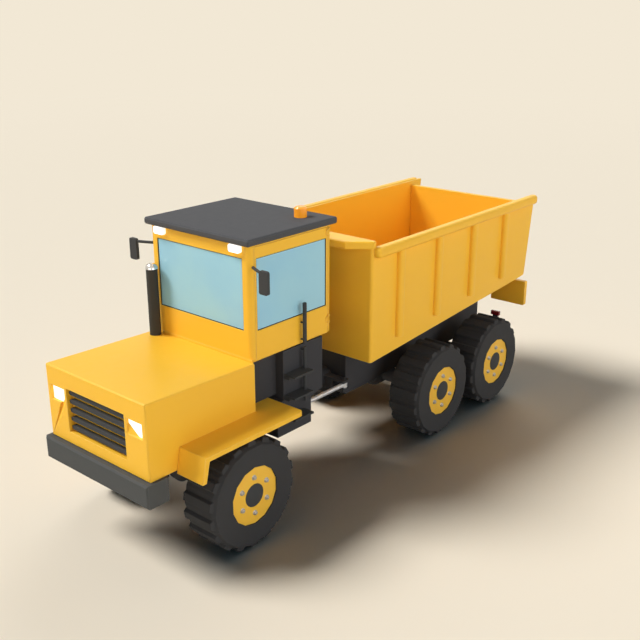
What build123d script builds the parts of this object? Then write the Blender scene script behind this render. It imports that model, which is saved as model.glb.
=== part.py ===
from build123d import *
import math
import os

# Six-wheel articulated dump truck: a front unit with engine, cab and front axle, a hitch that
# steers and lets the units roll, and a rear unit with two axles and the tipping body.
# Millimetres, +X forward, +Y left, +Z up. Stations along X are measured from the front axle,
# and write() moves each piece so that the frame's origin is mid-length on the ground.

# ---------------------------------------------------------------- driving dimensions
FIT_GAP = 0.3            # between curved faces of two bodies, and at a seat
RUNNING_FIT = 0.05       # radial clearance of a shaft in its bore
PANEL_GAP = 6.0          # round the door and the tailgate

# wheels and axles
TYRE_RADIUS = 800.0
LUG_HEIGHT = 48.0
LUG_COUNT = 18
LUG_TOP_SHARE = 0.42     # of a lug's pitch, at its top and at its foot
LUG_FOOT_SHARE = 0.56
LUG_END_INSET = 48.0   # of a lug's top from the sidewall
LUG_FOOT_INSET = 30.0    # of a lug's foot from the sidewall
LUG_SINK = 20.0
TYRE_WIDTH = 600.0
SHOULDER_DROP = 34.0
SHOULDER_RUN = 62.0
RIM_SIDES = 14
RIM_RADIUS = 428.0       # to the corners of the rim's outline
TYRE_CENTRE_Y = 1157.0
MID_AXLE_X = -4566.0
REAR_AXLE_X = -6319.0
RIM_FACE_INSET = 22.0
RIM_PLATE = 36.0
RIM_BARREL_WALL = 34.0
HUB_RADIUS = 165.0
HUB_CAP_STANDOUT = 6.0
SPINDLE_RADIUS = 90.0
SPINDLE_TIP_Y = 1395.0
AXLE_TUBE_RADIUS = 130.0
DIFF_RADIUS = 255.0
DIFF_HALF_WIDTH = 190.0
HUB_INNER_Y = 990.0
HUB_END_GAP = 10.0

# front frame
RAIL_OUTER_Y = 360.0
RAIL_WALL = 80.0
RAIL_BOTTOM = 980.0
RAIL_TOP = 1300.0
RAIL_REAR_X = -1780.0
CROSS_MEMBER = 110.0
CROSS_MEMBER_HEIGHT = 150.0
CROSS_MEMBER_X = (1050.0, 420.0, -500.0, -1250.0)
SADDLE_HALF_LENGTH = 150.0
CARRIER_X = (-1640.0, -1000.0)   # of the side boxes, above the steering cylinders
CARRIER_HEIGHT = 60.0
CAB_POST = 80.0
CAB_POST_SETBACK = 50.0          # of a post from the cab's front wall

# bumper
BUMPER_FRONT = 1510.0
BUMPER_REAR = 1162.0
BUMPER_HALF_WIDTH = 1090.0
BUMPER_BOTTOM = 1114.0
BUMPER_TOP = 1446.0
BUMPER_CHAMFER = 24.0

# hood
HOOD_FRONT = 1421.0
CAB_FRONT = -459.0        # the hood ends against the cab's front wall
HOOD_REAR = CAB_FRONT
HOOD_HALF_WIDTH = 1040.0
HOOD_FRONT_TOP = 2510.0
HOOD_REAR_TOP = 2462.0
HOOD_SHEET = 45.0
HOOD_EDGE = 14.0
NOSE_DEPTH = 170.0
GRILLE_HALF_WIDTH = 612.0
GRILLE_BOTTOM = 1625.0
GRILLE_TOP = 2256.0
GRILLE_RECESS = 95.0
SLAT_COUNT = 5
SLAT_HEIGHT = 60.0
SLAT_DEPTH = 60.0
SLAT_END_GAP = 16.0
LAMP_INNER_Y = 655.0
LAMP_OUTER_Y = 960.0
LAMP_BOTTOM = 2012.0
LAMP_TOP = 2228.0
LAMP_RECESS = 60.0
LAMP_GLASS = 22.0
LAMP_FACET_Y = (LAMP_OUTER_Y, 800.0)   # of the facet's outer corner, left and right
CREASE_DEPTH = 42.0
CREASE_WIDTH = 100.0

# fenders
FENDER_TOP = 1757.0
FENDER_SHEET = 66.0
FENDER_FRONT = 920.0
FENDER_REAR = -900.0
FENDER_OUTER_Y = 1530.0
FENDER_INNER_Y = 810.0
FENDER_LIP_BOTTOM = 1405.0
FENDER_LIP_LEAN = 66.0
FENDER_LIP_GAP = 5.0
FENDER_ARM = 60.0
FENDER_ARM_X = (-650.0, 650.0)
FENDER_ARM_SHORT = 130.0 # of the fender's outer edge
FENDER_POST = 70.0
FENDER_CORNER = 60.0

# cab
CAB_REAR = -2125.0
CAB_HALF_WIDTH = 1000.0
CAB_FLOOR = 2445.0
CAB_TOP = 4090.0
CAB_WALL = 60.0
CAB_CORNER = 80.0
CORNER_SHARE = 0.9       # of the wall that an inner corner is tighter by
CAB_LOW_CHAMFER = 34.0
WINDSCREEN_HALF_WIDTH = 856.0
REAR_WINDOW_HALF_WIDTH = 760.0
WINDOW_BOTTOM = 2893.0
WINDOW_TOP = 3903.0
SIDE_WINDOW_FRONT = -577.0
SIDE_WINDOW_REAR = -2000.0
GLASS = 12.0
GLASS_INSET = 14.0
DOOR_FRONT = -545.0
DOOR_REAR = -2032.0
DOOR_BOTTOM = 2470.0
DOOR_TOP = 4060.0
HINGE_AXIS_Y = 1015.0
HINGE_PIN_RADIUS = 9.0
KNUCKLE_RADIUS = 15.0
KNUCKLE_HEIGHT = 76.0
KNUCKLE_SET = 2.0        # of the hinge's axis behind the door's edge
KNUCKLE_GAP = 5.0
KNUCKLE_EAR = 16.0
HINGE_LEAF = 40.0
HINGE_HEIGHTS = (2680.0, 3990.0)
ROOF_FRONT = -387.0
ROOF_REAR = -2207.0
ROOF_HALF_WIDTH = 1045.0
ROOF_THICKNESS = 98.0
ROOF_EDGE = 22.0
WORK_LIGHT_Y = 758.0
WORK_LIGHT_WIDTH = 204.0
WORK_LIGHT_HEIGHT = 108.0
WORK_LIGHT_DEPTH = 55.0
WORK_LIGHT_DROP = 6.0
WORK_LIGHT_CORNER = 20.0
BEACON_X = -1845.0
BEACON_Y = 652.0
BEACON_RADIUS = 93.0
BEACON_HEIGHT = 152.0
BEACON_EDGE = 22.0
MIRROR_X = -400.0
MIRROR_INNER_Y = 1238.0
MIRROR_OUTER_Y = 1392.0
MIRROR_BOTTOM = 3515.0
MIRROR_TOP = 3832.0
MIRROR_DEPTH = 48.0
MIRROR_ARM_RADIUS = 21.0
MIRROR_ARM_DROP = 40.0   # of the arm from the head's top
MIRROR_CORNER = 30.0
STACK_X = -340.0
STACK_Y = -873.0
STACK_RADIUS = 84.0
STACK_TOP = 3468.0
CAP_HEIGHT = 84.0
CAP_OVERHANG = 8.0
CAP_STEPS = 4
CAP_SWEEP = 78.0         # degrees of a quarter round, up to the dome's small flat

# side boxes, steps and grab rail
BOX_INNER_Y = 640.0
BOX_OUTER_Y = 1000.0
BOX_FRONT = -938.0
BOX_PANEL_FRONT = -1070.0
BOX_REAR = -1914.0
BOX_STEP_REAR = -1660.0
BOX_BOTTOM = 1150.0
BOX_KNEE = 1560.0
BOX_REAR_BOTTOM = 1624.0
BOX_SHOULDER = 1690.0
BOX_INSET_OUTER_Y = 850.0
BOX_HOOD_GAP = 10.0
STEP_HEIGHTS = (1440.0, 1775.0, 2100.0)
STEP_FRONT = -1085.0
STEP_REAR = -1485.0
STEP_DEPTH = 210.0
STEP_SHEET = 28.0
STEP_CHEEK = 70.0
RAIL_TUBE = 24.0
RAIL_X = -1452.0
RAIL_Y = 1070.0
RAIL_FOOT = 1590.0
RAIL_SPLIT = (2425.0, 2485.0)
RAIL_HEAD = 3085.0
RAIL_STAY = 45.0         # of a stay from the rail's end
STAY_RADIUS = 13.0

# hitch
HITCH_X = -2300.0
HITCH_Z = 1150.0
HITCH_PIN_RADIUS = 70.0
HITCH_HALF_HEIGHT = 165.0
HITCH_BLOCK_RADIUS = 150.0
EAR_THICKNESS = 80.0
EAR_GAP = 6.0
ROLL_TUBE_RADIUS = 165.0
ROLL_TUBE_INSIDE = 370.0 # of the roll tube in the rear frame's nose
YOKE_LENGTH = 150.0
YOKE_GAP = 40.0          # between the yoke and the rear frame's nose
YOKE_HALF_HEIGHT = 95.0
YOKE_SLOT_Y = 330.0
HEAD_THICKNESS = 110.0
HITCH_PIN_END = 25.0

# steering cylinders
STEER_FRONT_X = -1350.0
STEER_Y = 500.0
STEER_Z = 1150.0
STEER_BARREL_RADIUS = 64.0
STEER_ROD_RADIUS = 38.0
STEER_GLAND_X = -2110.0
STEER_PIN_RADIUS = 28.0
STEER_EYE_RADIUS = 55.0
STEER_EYE_HEIGHT = 90.0
STEER_ROD_INSIDE = 430.0
STEER_EYE_BACK = 60.0    # of a rod's pin in front of the yoke's rear face
STEER_EYE_CHEEK = 90.0   # to each side of a pin, where the barrel is cut down to its eye
STEER_BORE_START = 130.0
STEER_LUG = 30.0
STEER_LUG_GAP = 5.0
STEER_LUG_HALF_LENGTH = 70.0
STEER_LUG_REACH = 60.0   # of a lug beyond the pin
YOKE_TIP = 10.0          # of the yoke beyond a rod's eye
PIN_STUB = 3.0           # of a rod's pin beyond its eye, short of the lugs
PIN_HEAD = 16.0          # of a pin outside its lug

# rear frame
REAR_FRAME_FRONT = -3150.0
REAR_FRAME_REAR = -7270.0
REAR_RAIL_OUTER_Y = 450.0
REAR_RAIL_WALL = 100.0
REAR_FRAME_TOP = 1720.0
REAR_FRAME_BOTTOM = 930.0
REAR_FRAME_RAISED = 965.0
REAR_FRAME_STEP_X = (-3950.0, -4150.0)
REAR_FRAME_TAIL = 1285.0
BEAM_OUTER_Y = 660.0
BEAM_INNER_Y = 540.0
TRUNNION_RADIUS = 110.0
LAMP_BAR_Z = 1215.0
TAIL_LAMP_X = -7400.0
TAIL_LAMP_Y = 785.0
TAIL_LAMP_Z = 1318.0
TAIL_LAMP_SIZE = (70.0, 190.0, 88.0)
TAIL_LAMP_EDGE = 14.0
TAIL_TAPER_START = 400.0 # behind the rear axle
HANGER_HALF_LENGTH = 130.0
HANGER_FOOT = 40.0       # of a hanger below the axles
LAMP_BAR = 50.0
LAMP_ARM = 120.0
LAMP_STALK = 40.0
NOSE_END_WALL = 20.0
ROLL_TUBE_END_GAP = 5.0
REAR_MEMBER = 115.0
REAR_MEMBER_HEIGHT = 195.0
REAR_MEMBER_XZ = ((-4300.0, 1500.0), (-5500.0, 1140.0), (-6800.0, 1300.0))
TAIL_MEMBER = 70.0
TAIL_MEMBER_RISE = 40.0  # above the upper tow lug
DIFF_CHAMFER = 70.0
BEAM_END = 150.0         # of a walking beam from an axle
BEAM_END_HALF_HEIGHT = 70.0
BEAM_CROWN = 145.0       # half the beam's height at the trunnion
SHAFT_RADIUS = 60.0
SHAFT_RISE = 40.0        # of the shaft between the axles above their centres

TOW_X = -7345.0
TOW_Z = 1400.0
TOW_SPAN = 140.0
TOW_LUG = 30.0
TOW_LUG_RADIUS = 62.0
TOW_BORE_RADIUS = 26.0

# dump body
BODY_FRONT = -2700.0
BODY_HALF_WIDTH = 1300.0
BODY_FRONT_BOTTOM = 1840.0
BODY_REAR_BOTTOM = 2166.0
BODY_BEND_X = -7200.0
BODY_TAIL_X = -7440.0
BODY_TAIL_Z = 2190.0
BODY_REAR_X = -7630.0
BODY_WALL = 60.0
BODY_CORNER = 45.0
TAIL_ROUND = 42.0
TAIL_OPEN = 200.0        # of the open tail's cut beyond the rear end
TAIL_FLOOR_RISE = 60.0
WALL_TOP_DROP = 30.0     # of the walls' top in the cap rails
PLATE_SINK = 20.0        # of lugs and brackets in the floor
RAIL_CAP_OUTER_Y = 1415.0
RAIL_CAP_INNER_Y = 1262.0
RAIL_CAP_BOTTOM = 3500.0
RAIL_CAP_TOP = 3672.0
RAIL_CAP_ROUND = 62.0
RAIL_CAP_RISE = 40.0   # from the front to the rear end
CAP_START = 36.0         # of a cap rail behind the front wall
CAP_END = 55.0   # of a cap rail in front of the walls' rear end
RIB_COUNT = 4
RIB_FIRST_X = -3400.0
RIB_PITCH = 1052.0
RIB_WIDTH = 150.0
RIB_STANDOUT = 80.0
RIB_FOOT = 215.0
RIB_ROUND = 55.0
RIB_ROOT = 20.0          # of a rib in the wall and in the cap rail
GUARD_FRONT = -2430.0
GUARD_FRONT_HALF_WIDTH = 1000.0
GUARD_REAR_HALF_WIDTH = 1320.0
GUARD_BOTTOM = 3645.0
GUARD_TOP = 3765.0
GUARD_EDGE = 22.0
TAILGATE_X = -7320.0
TAILGATE_THICKNESS = 80.0
TAILGATE_TOP = 3600.0
TAILGATE_PIN_RADIUS = 26.0
TAILGATE_PIN_Z = 3545.0
PIN_HOLE_WALL = 10.0     # left at the end of a pin's blind hole
PIN_END_GAP = 4.0
PIN_ROOT = 10.0          # of a pin in the tailgate
GATE_FOOT_GAP = 60.0     # under the tailgate, over the floor
TIP_X = -7100.0
TIP_Z = 1790.0
TIP_PIN_RADIUS = 42.0
TIP_EAR_RADIUS = 92.0
BODY_LUG_INNER_Y = 250.0
TIP_LUG_HALF_LENGTH = 84.0
TIP_LUG_FRONT = 420.0
SEAT_BEAM_X = (-3300.0, -3500.0)
SEAT_BEAM_HALF_WIDTH = 620.0
SPLASH_PLATE_X = -7500.0
SPLASH_PLATE_THICKNESS = 85.0
SPLASH_PLATE_Y = (650.0, 1360.0)
SPLASH_PLATE_Z = (1590.0, 2060.0)
SPLASH_PLATE_ROUND = 25.0
SPLASH_BRACKET = 60.0
SPLASH_BRACKET_Y = 60.0  # of a bracket from the plate's inner edge
SPLASH_BRACKET_LENGTH = 250.0
SPLASH_BRACKET_HEIGHT = 160.0

# hoist cylinders
HOIST_Y = 175.0
HOIST_FOOT = (-4850.0, 1150.0)
HOIST_HEAD = (-6200.0, 1940.0)
HOIST_BARREL_RADIUS = 85.0
HOIST_ROD_RADIUS = 48.0
HOIST_BARREL_LENGTH = 1380.0
HOIST_PIN_RADIUS = 34.0
HOIST_EYE_RADIUS = 78.0
HOIST_EYE_WIDTH = 90.0
HOIST_BARREL_START = 60.0
HOIST_BORE_START = 150.0
HOIST_ROD_END_GAP = 10.0
HOIST_ROD_EYE_RADIUS = 72.0
HOIST_NECK = 40.0
HOIST_LUG = 30.0
HOIST_LUG_GAP = 5.0
HOIST_LUG_RADIUS = 60.0
HOIST_LUG_ROOT = 160.0   # half a lug's length at the floor

# engine
ENGINE_HALF_WIDTH = 350.0
ENGINE_FRONT = 900.0
ENGINE_REAR = -430.0
ENGINE_TOP = 2180.0

# seat, dashboard and steering wheel
SEAT_X = -1440.0
SEAT_LENGTH = 520.0
SEAT_WIDTH = 500.0
SEAT_BASE = 380.0
SEAT_HEIGHT = 430.0
SEAT_PAD = 130.0
SEAT_BACK = 660.0
SEAT_EDGE = 28.0
DASH_HALF_WIDTH = 820.0
DASH_HEIGHT = 370.0
DASH_FOOT = 160.0
DASH_DEPTH = 330.0
DASH_LIP = 50.0
COLUMN_RADIUS = 35.0
WHEEL_REACH = 90.0
WHEEL_RISE = 190.0
WHEEL_RADIUS = 210.0
WHEEL_RIM = 36.0
WHEEL_SPOKE = 60.0
WHEEL_SIDES = 16

FRAME_SHIFT = -(BUMPER_FRONT + BODY_REAR_X) / 2
AXLE_Z = TYRE_RADIUS
TRUNNION_X = (MID_AXLE_X + REAR_AXLE_X) / 2
YOKE_REAR = REAR_FRAME_FRONT + YOKE_GAP
YOKE_FRONT = YOKE_REAR + YOKE_LENGTH
STEER_REAR_X = YOKE_REAR + STEER_EYE_BACK
ROLL_TUBE_END = REAR_FRAME_FRONT - ROLL_TUBE_INSIDE
LEFT_RIGHT = (1, -1)


# ---------------------------------------------------------------- small helpers
def block(x, y, z):
    """A box between two stations along each axis, in either order."""
    spans = [(min(pair), max(pair)) for pair in (x, y, z)]
    size = [high - low for low, high in spans]
    middle = [(high + low) / 2 for low, high in spans]
    return Pos(*middle) * Box(*size)


def side_prism(points, y0, y1):
    """An outline drawn in side view, as (x, z) points, carried from y0 to y1."""
    low, high = min(y0, y1), max(y0, y1)
    face = make_face(Polyline(*[(x, 0, z) for x, z in points], close=True))
    return Pos(0, high, 0) * extrude(face, amount=high - low, dir=(0, -1, 0))


def plan_prism(points, z0, z1):
    """An outline drawn from above, as (x, y) points, carried from z0 to z1."""
    face = make_face(Polyline(*[(x, y, 0) for x, y in points], close=True))
    return Pos(0, 0, z0) * extrude(face, amount=z1 - z0, dir=(0, 0, 1))


def bar_x(x0, x1, y, z, radius):
    """A round bar along X."""
    return Pos((x0 + x1) / 2, y, z) * Rot(0, 90, 0) * Cylinder(radius, abs(x1 - x0))


def bar_y(y0, y1, x, z, radius):
    """A round bar along Y."""
    return Pos(x, (y0 + y1) / 2, z) * Rot(90, 0, 0) * Cylinder(radius, abs(y1 - y0))


def bar_z(z0, z1, x, y, radius):
    """A round bar along Z."""
    return Pos(x, y, (z0 + z1) / 2) * Cylinder(radius, abs(z1 - z0))


def rod_between(start, end, radius):
    """A round bar between two points."""
    a, b = Vector(*start), Vector(*end)
    return Plane(origin=(a + b) / 2, z_dir=b - a) * Cylinder(radius, (b - a).length)


def tetrahedron(a, b, c, d):
    """The solid between four points."""
    corners = ((a, b, c), (a, b, d), (a, c, d), (b, c, d))
    return Solid(Shell([make_face(Polyline(*three, close=True)).face() for three in corners]))


def both_sides(piece):
    """The piece and its mirror image across the centre plane."""
    return piece + mirror(piece, about=Plane.XZ)


def floor_line(x):
    """Height of the dump body's underside at a station."""
    share = (BODY_FRONT - x) / (BODY_FRONT - BODY_BEND_X)
    return BODY_FRONT_BOTTOM + share * (BODY_REAR_BOTTOM - BODY_FRONT_BOTTOM)


def write(node, shape):
    """Moves a piece to the frame's origin and writes it as one file."""
    solids = shape.solids() if hasattr(shape, "solids") else ShapeList(shape)
    moved = [Pos(FRAME_SHIFT, 0, 0) * solid for solid in solids]
    export_step(moved[0] if len(moved) == 1 else Compound(children=moved), f"parts/{node}.step")


# ---------------------------------------------------------------- wheels
def wheel_face(radius, sides):
    """A regular outline in the wheel's plane, with a corner pointing forward."""
    return RegularPolygon(radius, sides)


def tyre():
    """A ring with one flat per lug, bevelled shoulders, and a straight cross lug on each flat."""
    ring_radius = TYRE_RADIUS - LUG_HEIGHT
    half = TYRE_WIDTH / 2
    step = 360 / LUG_COUNT
    corner = ring_radius / math.cos(math.pi / LUG_COUNT)
    shoulder_corner = (ring_radius - SHOULDER_DROP) / math.cos(math.pi / LUG_COUNT)
    flats = Rot(0, 0, step / 2)
    inner_half = half - SHOULDER_RUN
    body = extrude(flats * wheel_face(corner, LUG_COUNT), amount=inner_half, both=True)
    for end in LEFT_RIGHT:
        near = Pos(0, 0, end * inner_half) * flats * wheel_face(corner, LUG_COUNT)
        far = Pos(0, 0, end * half) * flats * wheel_face(shoulder_corner, LUG_COUNT)
        body += loft([near.face(), far.face()], ruled=True)
    body -= extrude(wheel_face(RIM_RADIUS, RIM_SIDES), amount=half + 1, both=True)
    pitch = 2 * math.pi * ring_radius / LUG_COUNT
    base = ring_radius - SHOULDER_DROP - LUG_SINK
    foot_half, top_half = half - LUG_FOOT_INSET, half - LUG_END_INSET
    length = make_face(Polyline((base, 0, -foot_half), (base, 0, foot_half), (TYRE_RADIUS, 0, top_half),
                                (TYRE_RADIUS, 0, -top_half), close=True))
    foot, top = pitch * LUG_FOOT_SHARE / 2, pitch * LUG_TOP_SHARE / 2
    flank = (foot - top) / LUG_HEIGHT
    sunk = foot + flank * (SHOULDER_DROP + LUG_SINK)
    over = top - flank
    section = make_face(Polyline((base, -sunk, 0), (base, sunk, 0), (TYRE_RADIUS + 1, over, 0),
                                 (TYRE_RADIUS + 1, -over, 0), close=True))
    lug = extrude(length, amount=pitch, both=True, dir=(0, 1, 0))
    lug &= extrude(section, amount=half + 1, both=True)
    lugs = [Rot(0, 0, i * step) * lug for i in range(LUG_COUNT)]
    return Rot(90, 0, 0) * Rot(0, 0, 90) * (body + lugs)


def rim(side):
    """Barrel and plate with the outline of the tyre's opening, and a hub that runs on the spindle."""
    inner_y = TYRE_CENTRE_Y - TYRE_WIDTH / 2 + RIM_FACE_INSET
    face_y = TYRE_CENTRE_Y + TYRE_WIDTH / 2 - RIM_FACE_INSET
    outline = Rot(90, 0, 0) * Rot(0, 0, 90) * wheel_face(RIM_RADIUS, RIM_SIDES)
    hollow = Rot(90, 0, 0) * Rot(0, 0, 90) * wheel_face(RIM_RADIUS - RIM_BARREL_WALL, RIM_SIDES)
    barrel = Pos(0, face_y, 0) * extrude(outline, amount=face_y - inner_y, dir=(0, -1, 0))
    barrel -= Pos(0, face_y - RIM_PLATE, 0) * extrude(hollow, amount=face_y - inner_y, dir=(0, -1, 0))
    hub = bar_y(HUB_INNER_Y + HUB_END_GAP, face_y + HUB_CAP_STANDOUT, 0, 0, HUB_RADIUS)
    bore = bar_y(HUB_INNER_Y, SPINDLE_TIP_Y + HUB_END_GAP, 0, 0, SPINDLE_RADIUS + RUNNING_FIT)
    wheel = barrel + hub - bore
    return wheel if side > 0 else mirror(wheel, about=Plane.XZ)


def axle_housing(x):
    """Drive axle: centre casing, tubes and the two spindles."""
    tube = bar_y(-HUB_INNER_Y, HUB_INNER_Y, x, AXLE_Z, AXLE_TUBE_RADIUS)
    casing = bar_x(x - DIFF_HALF_WIDTH, x + DIFF_HALF_WIDTH, 0, AXLE_Z, DIFF_RADIUS)
    casing = chamfer(casing.edges().filter_by(GeomType.CIRCLE), length=DIFF_CHAMFER)
    spindle = bar_y(-SPINDLE_TIP_Y, SPINDLE_TIP_Y, x, AXLE_Z, SPINDLE_RADIUS)
    return tube + casing + spindle


AXLES = (("front", 0.0), ("middle", MID_AXLE_X), ("rear", REAR_AXLE_X))


def build_wheels():
    ring = tyre()
    for name, x in AXLES:
        for side, word in zip(LEFT_RIGHT, ("left", "right")):
            write(f"tyre_{name}_{word}", Pos(x, side * TYRE_CENTRE_Y, AXLE_Z) * ring)
            write(f"rim_{name}_{word}", Pos(x, 0, AXLE_Z) * rim(side))


# ---------------------------------------------------------------- front unit
def front_rail():
    """The left rail with its axle saddle, fender arms, box carrier and steering lugs."""
    rail_inner = RAIL_OUTER_Y - RAIL_WALL
    rail = block((RAIL_REAR_X, BUMPER_REAR), (rail_inner, RAIL_OUTER_Y), (RAIL_BOTTOM, RAIL_TOP))
    saddle = block((-SADDLE_HALF_LENGTH, SADDLE_HALF_LENGTH), (rail_inner, RAIL_OUTER_Y),
                   (AXLE_Z, RAIL_BOTTOM))
    rail += saddle - bar_y(rail_inner, RAIL_OUTER_Y, 0, AXLE_Z, AXLE_TUBE_RADIUS)
    under = FENDER_TOP - FENDER_SHEET
    for x in FENDER_ARM_X:
        span = (x - FENDER_ARM / 2, x + FENDER_ARM / 2)
        rail += block(span, (RAIL_OUTER_Y, RAIL_OUTER_Y + FENDER_POST), (RAIL_BOTTOM, under))
        rail += block(span, (RAIL_OUTER_Y, FENDER_OUTER_Y - FENDER_ARM_SHORT), (under - FENDER_ARM, under))
    rail += block(CARRIER_X, (RAIL_OUTER_Y, BOX_INNER_Y), (RAIL_TOP - CARRIER_HEIGHT, RAIL_TOP))
    lug_x = (STEER_FRONT_X - STEER_LUG_HALF_LENGTH, STEER_FRONT_X + STEER_LUG_HALF_LENGTH)
    lug_half = STEER_EYE_HEIGHT / 2 + STEER_LUG_GAP
    for end in LEFT_RIGHT:
        near = STEER_Z + end * lug_half
        rail += block(lug_x, (RAIL_OUTER_Y, STEER_Y + STEER_LUG_REACH), (near, near + end * STEER_LUG))
    pin_half = lug_half + STEER_LUG + PIN_HEAD
    rail += bar_z(STEER_Z - pin_half, STEER_Z + pin_half, STEER_FRONT_X, STEER_Y, STEER_PIN_RADIUS)
    post_x = (CAB_FRONT - CAB_POST_SETBACK - CAB_POST, CAB_FRONT - CAB_POST_SETBACK)
    return rail + block(post_x, (rail_inner, RAIL_OUTER_Y), (RAIL_TOP, CAB_FLOOR))


def hitch_head():
    """Rear cross beam of the front unit, with the two ears and the pin of the hitch."""
    head_half = HITCH_HALF_HEIGHT + EAR_GAP + EAR_THICKNESS
    head = block((RAIL_REAR_X - HEAD_THICKNESS, RAIL_REAR_X), (-RAIL_OUTER_Y, RAIL_OUTER_Y),
                 (HITCH_Z - head_half, HITCH_Z + head_half))
    root = RAIL_REAR_X - HEAD_THICKNESS
    outline = [(root, -RAIL_OUTER_Y), (root, RAIL_OUTER_Y), (HITCH_X, HITCH_BLOCK_RADIUS),
               (HITCH_X, -HITCH_BLOCK_RADIUS)]
    for end in LEFT_RIGHT:
        near, far = sorted((HITCH_Z + end * (HITCH_HALF_HEIGHT + EAR_GAP), HITCH_Z + end * head_half))
        head += plan_prism(outline, near, far) + bar_z(near, far, HITCH_X, 0, HITCH_BLOCK_RADIUS)
    pin_half = head_half + HITCH_PIN_END
    return head + bar_z(HITCH_Z - pin_half, HITCH_Z + pin_half, HITCH_X, 0, HITCH_PIN_RADIUS)


def build_front_frame():
    rail = front_rail()
    write("front_frame", Compound(children=[rail, mirror(rail, about=Plane.XZ)]))
    rail_inner = RAIL_OUTER_Y - RAIL_WALL
    members = [block((x - CROSS_MEMBER / 2, x + CROSS_MEMBER / 2), (-rail_inner, rail_inner),
                     (RAIL_TOP - CROSS_MEMBER_HEIGHT, RAIL_TOP)) for x in CROSS_MEMBER_X]
    write("front_cross_members", Compound(children=members + [hitch_head()]))


def build_engine():
    write("engine", block((ENGINE_REAR, ENGINE_FRONT), (-ENGINE_HALF_WIDTH, ENGINE_HALF_WIDTH),
                          (RAIL_TOP, ENGINE_TOP)))


def build_bumper():
    bumper = block((BUMPER_REAR, BUMPER_FRONT), (-BUMPER_HALF_WIDTH, BUMPER_HALF_WIDTH),
                   (BUMPER_BOTTOM, BUMPER_TOP))
    front = bumper.faces().sort_by(Axis.X)[-1]
    write("bumper", chamfer(front.edges(), length=BUMPER_CHAMFER))


def lamp_corner(side):
    """The sloped facet in a headlamp's pocket, from flush at the lower inner corner to the lamp's plane."""
    flush = Vector(HOOD_FRONT, side * LAMP_INNER_Y, LAMP_BOTTOM)
    back_x = HOOD_FRONT - LAMP_RECESS
    facet_y = LAMP_FACET_Y[LEFT_RIGHT.index(side)]
    inner_top = Vector(back_x, side * LAMP_INNER_Y, LAMP_TOP)
    outer_bottom = Vector(back_x, side * facet_y, LAMP_BOTTOM)
    inner_bottom = Vector(back_x, side * LAMP_INNER_Y, LAMP_BOTTOM)
    return tetrahedron(flush, inner_top, outer_bottom, inner_bottom)


def build_hood():
    step_x = FENDER_FRONT + FIT_GAP
    outline = [(HOOD_REAR, FENDER_TOP), (step_x, FENDER_TOP), (step_x, BUMPER_TOP),
               (HOOD_FRONT, BUMPER_TOP), (HOOD_FRONT, HOOD_FRONT_TOP), (HOOD_REAR, HOOD_REAR_TOP)]
    hood = side_prism(outline, -HOOD_HALF_WIDTH, HOOD_HALF_WIDTH)
    edges = hood.edges().filter_by(lambda e: e.center().Z > HOOD_REAR_TOP or e.center().X > HOOD_FRONT - 1)
    hood = chamfer(edges, length=HOOD_EDGE)
    nose_back = HOOD_FRONT - NOSE_DEPTH
    hood -= side_prism([(HOOD_REAR, FENDER_TOP - 1), (step_x + HOOD_SHEET, FENDER_TOP - 1),
                        (step_x + HOOD_SHEET, BUMPER_TOP), (nose_back, BUMPER_TOP),
                        (nose_back, HOOD_FRONT_TOP - HOOD_SHEET), (HOOD_REAR, HOOD_REAR_TOP - HOOD_SHEET)],
                       -HOOD_HALF_WIDTH + HOOD_SHEET, HOOD_HALF_WIDTH - HOOD_SHEET)
    hood -= block((HOOD_FRONT - GRILLE_RECESS, HOOD_FRONT + 1), (-GRILLE_HALF_WIDTH, GRILLE_HALF_WIDTH),
                  (GRILLE_BOTTOM, GRILLE_TOP))
    for side in LEFT_RIGHT:
        hood -= block((HOOD_FRONT - LAMP_RECESS, HOOD_FRONT + 1),
                      (side * LAMP_INNER_Y, side * LAMP_OUTER_Y),
                      (LAMP_BOTTOM, LAMP_TOP))
        hood += lamp_corner(side)
    # pressed crease from the right lamp down to the corner over the bumper
    high = Vector(HOOD_FRONT, -LAMP_INNER_Y, LAMP_BOTTOM)
    hood -= tetrahedron(high, high + Vector(0, -CREASE_WIDTH, 0),
                        high + Vector(-CREASE_DEPTH, -CREASE_WIDTH, 0),
                        Vector(HOOD_FRONT, -HOOD_HALF_WIDTH + HOOD_EDGE, BUMPER_TOP))
    write("hood", hood)


def build_grille():
    pitch = (GRILLE_TOP - GRILLE_BOTTOM) / SLAT_COUNT
    back = HOOD_FRONT - GRILLE_RECESS
    slats = []
    for i in range(SLAT_COUNT):
        z = GRILLE_BOTTOM + pitch * (i + 0.5)
        slat = block((back, back + SLAT_DEPTH),
                     (-GRILLE_HALF_WIDTH + SLAT_END_GAP, GRILLE_HALF_WIDTH - SLAT_END_GAP),
                     (z - SLAT_HEIGHT / 2, z + SLAT_HEIGHT / 2))
        ends = slat.edges().filter_by(Axis.X)
        slats.append(fillet(ends, radius=SLAT_HEIGHT / 2 - 2))
    write("grille", Compound(children=slats))


def build_front_lamps():
    lamps = []
    back = HOOD_FRONT - LAMP_RECESS
    work_top = CAB_TOP - WORK_LIGHT_DROP
    for side in LEFT_RIGHT:
        glass = block((back, back + LAMP_GLASS), (side * LAMP_INNER_Y, side * LAMP_OUTER_Y),
                      (LAMP_BOTTOM, LAMP_TOP))
        lamps.append(glass - lamp_corner(side))
        work = block((CAB_FRONT, CAB_FRONT + WORK_LIGHT_DEPTH),
                     (side * WORK_LIGHT_Y - WORK_LIGHT_WIDTH / 2,
                      side * WORK_LIGHT_Y + WORK_LIGHT_WIDTH / 2),
                     (work_top - WORK_LIGHT_HEIGHT, work_top))
        lamps.append(chamfer(work.edges().filter_by(Axis.X), length=WORK_LIGHT_CORNER))
    write("front_lamps", Compound(children=lamps))


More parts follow.
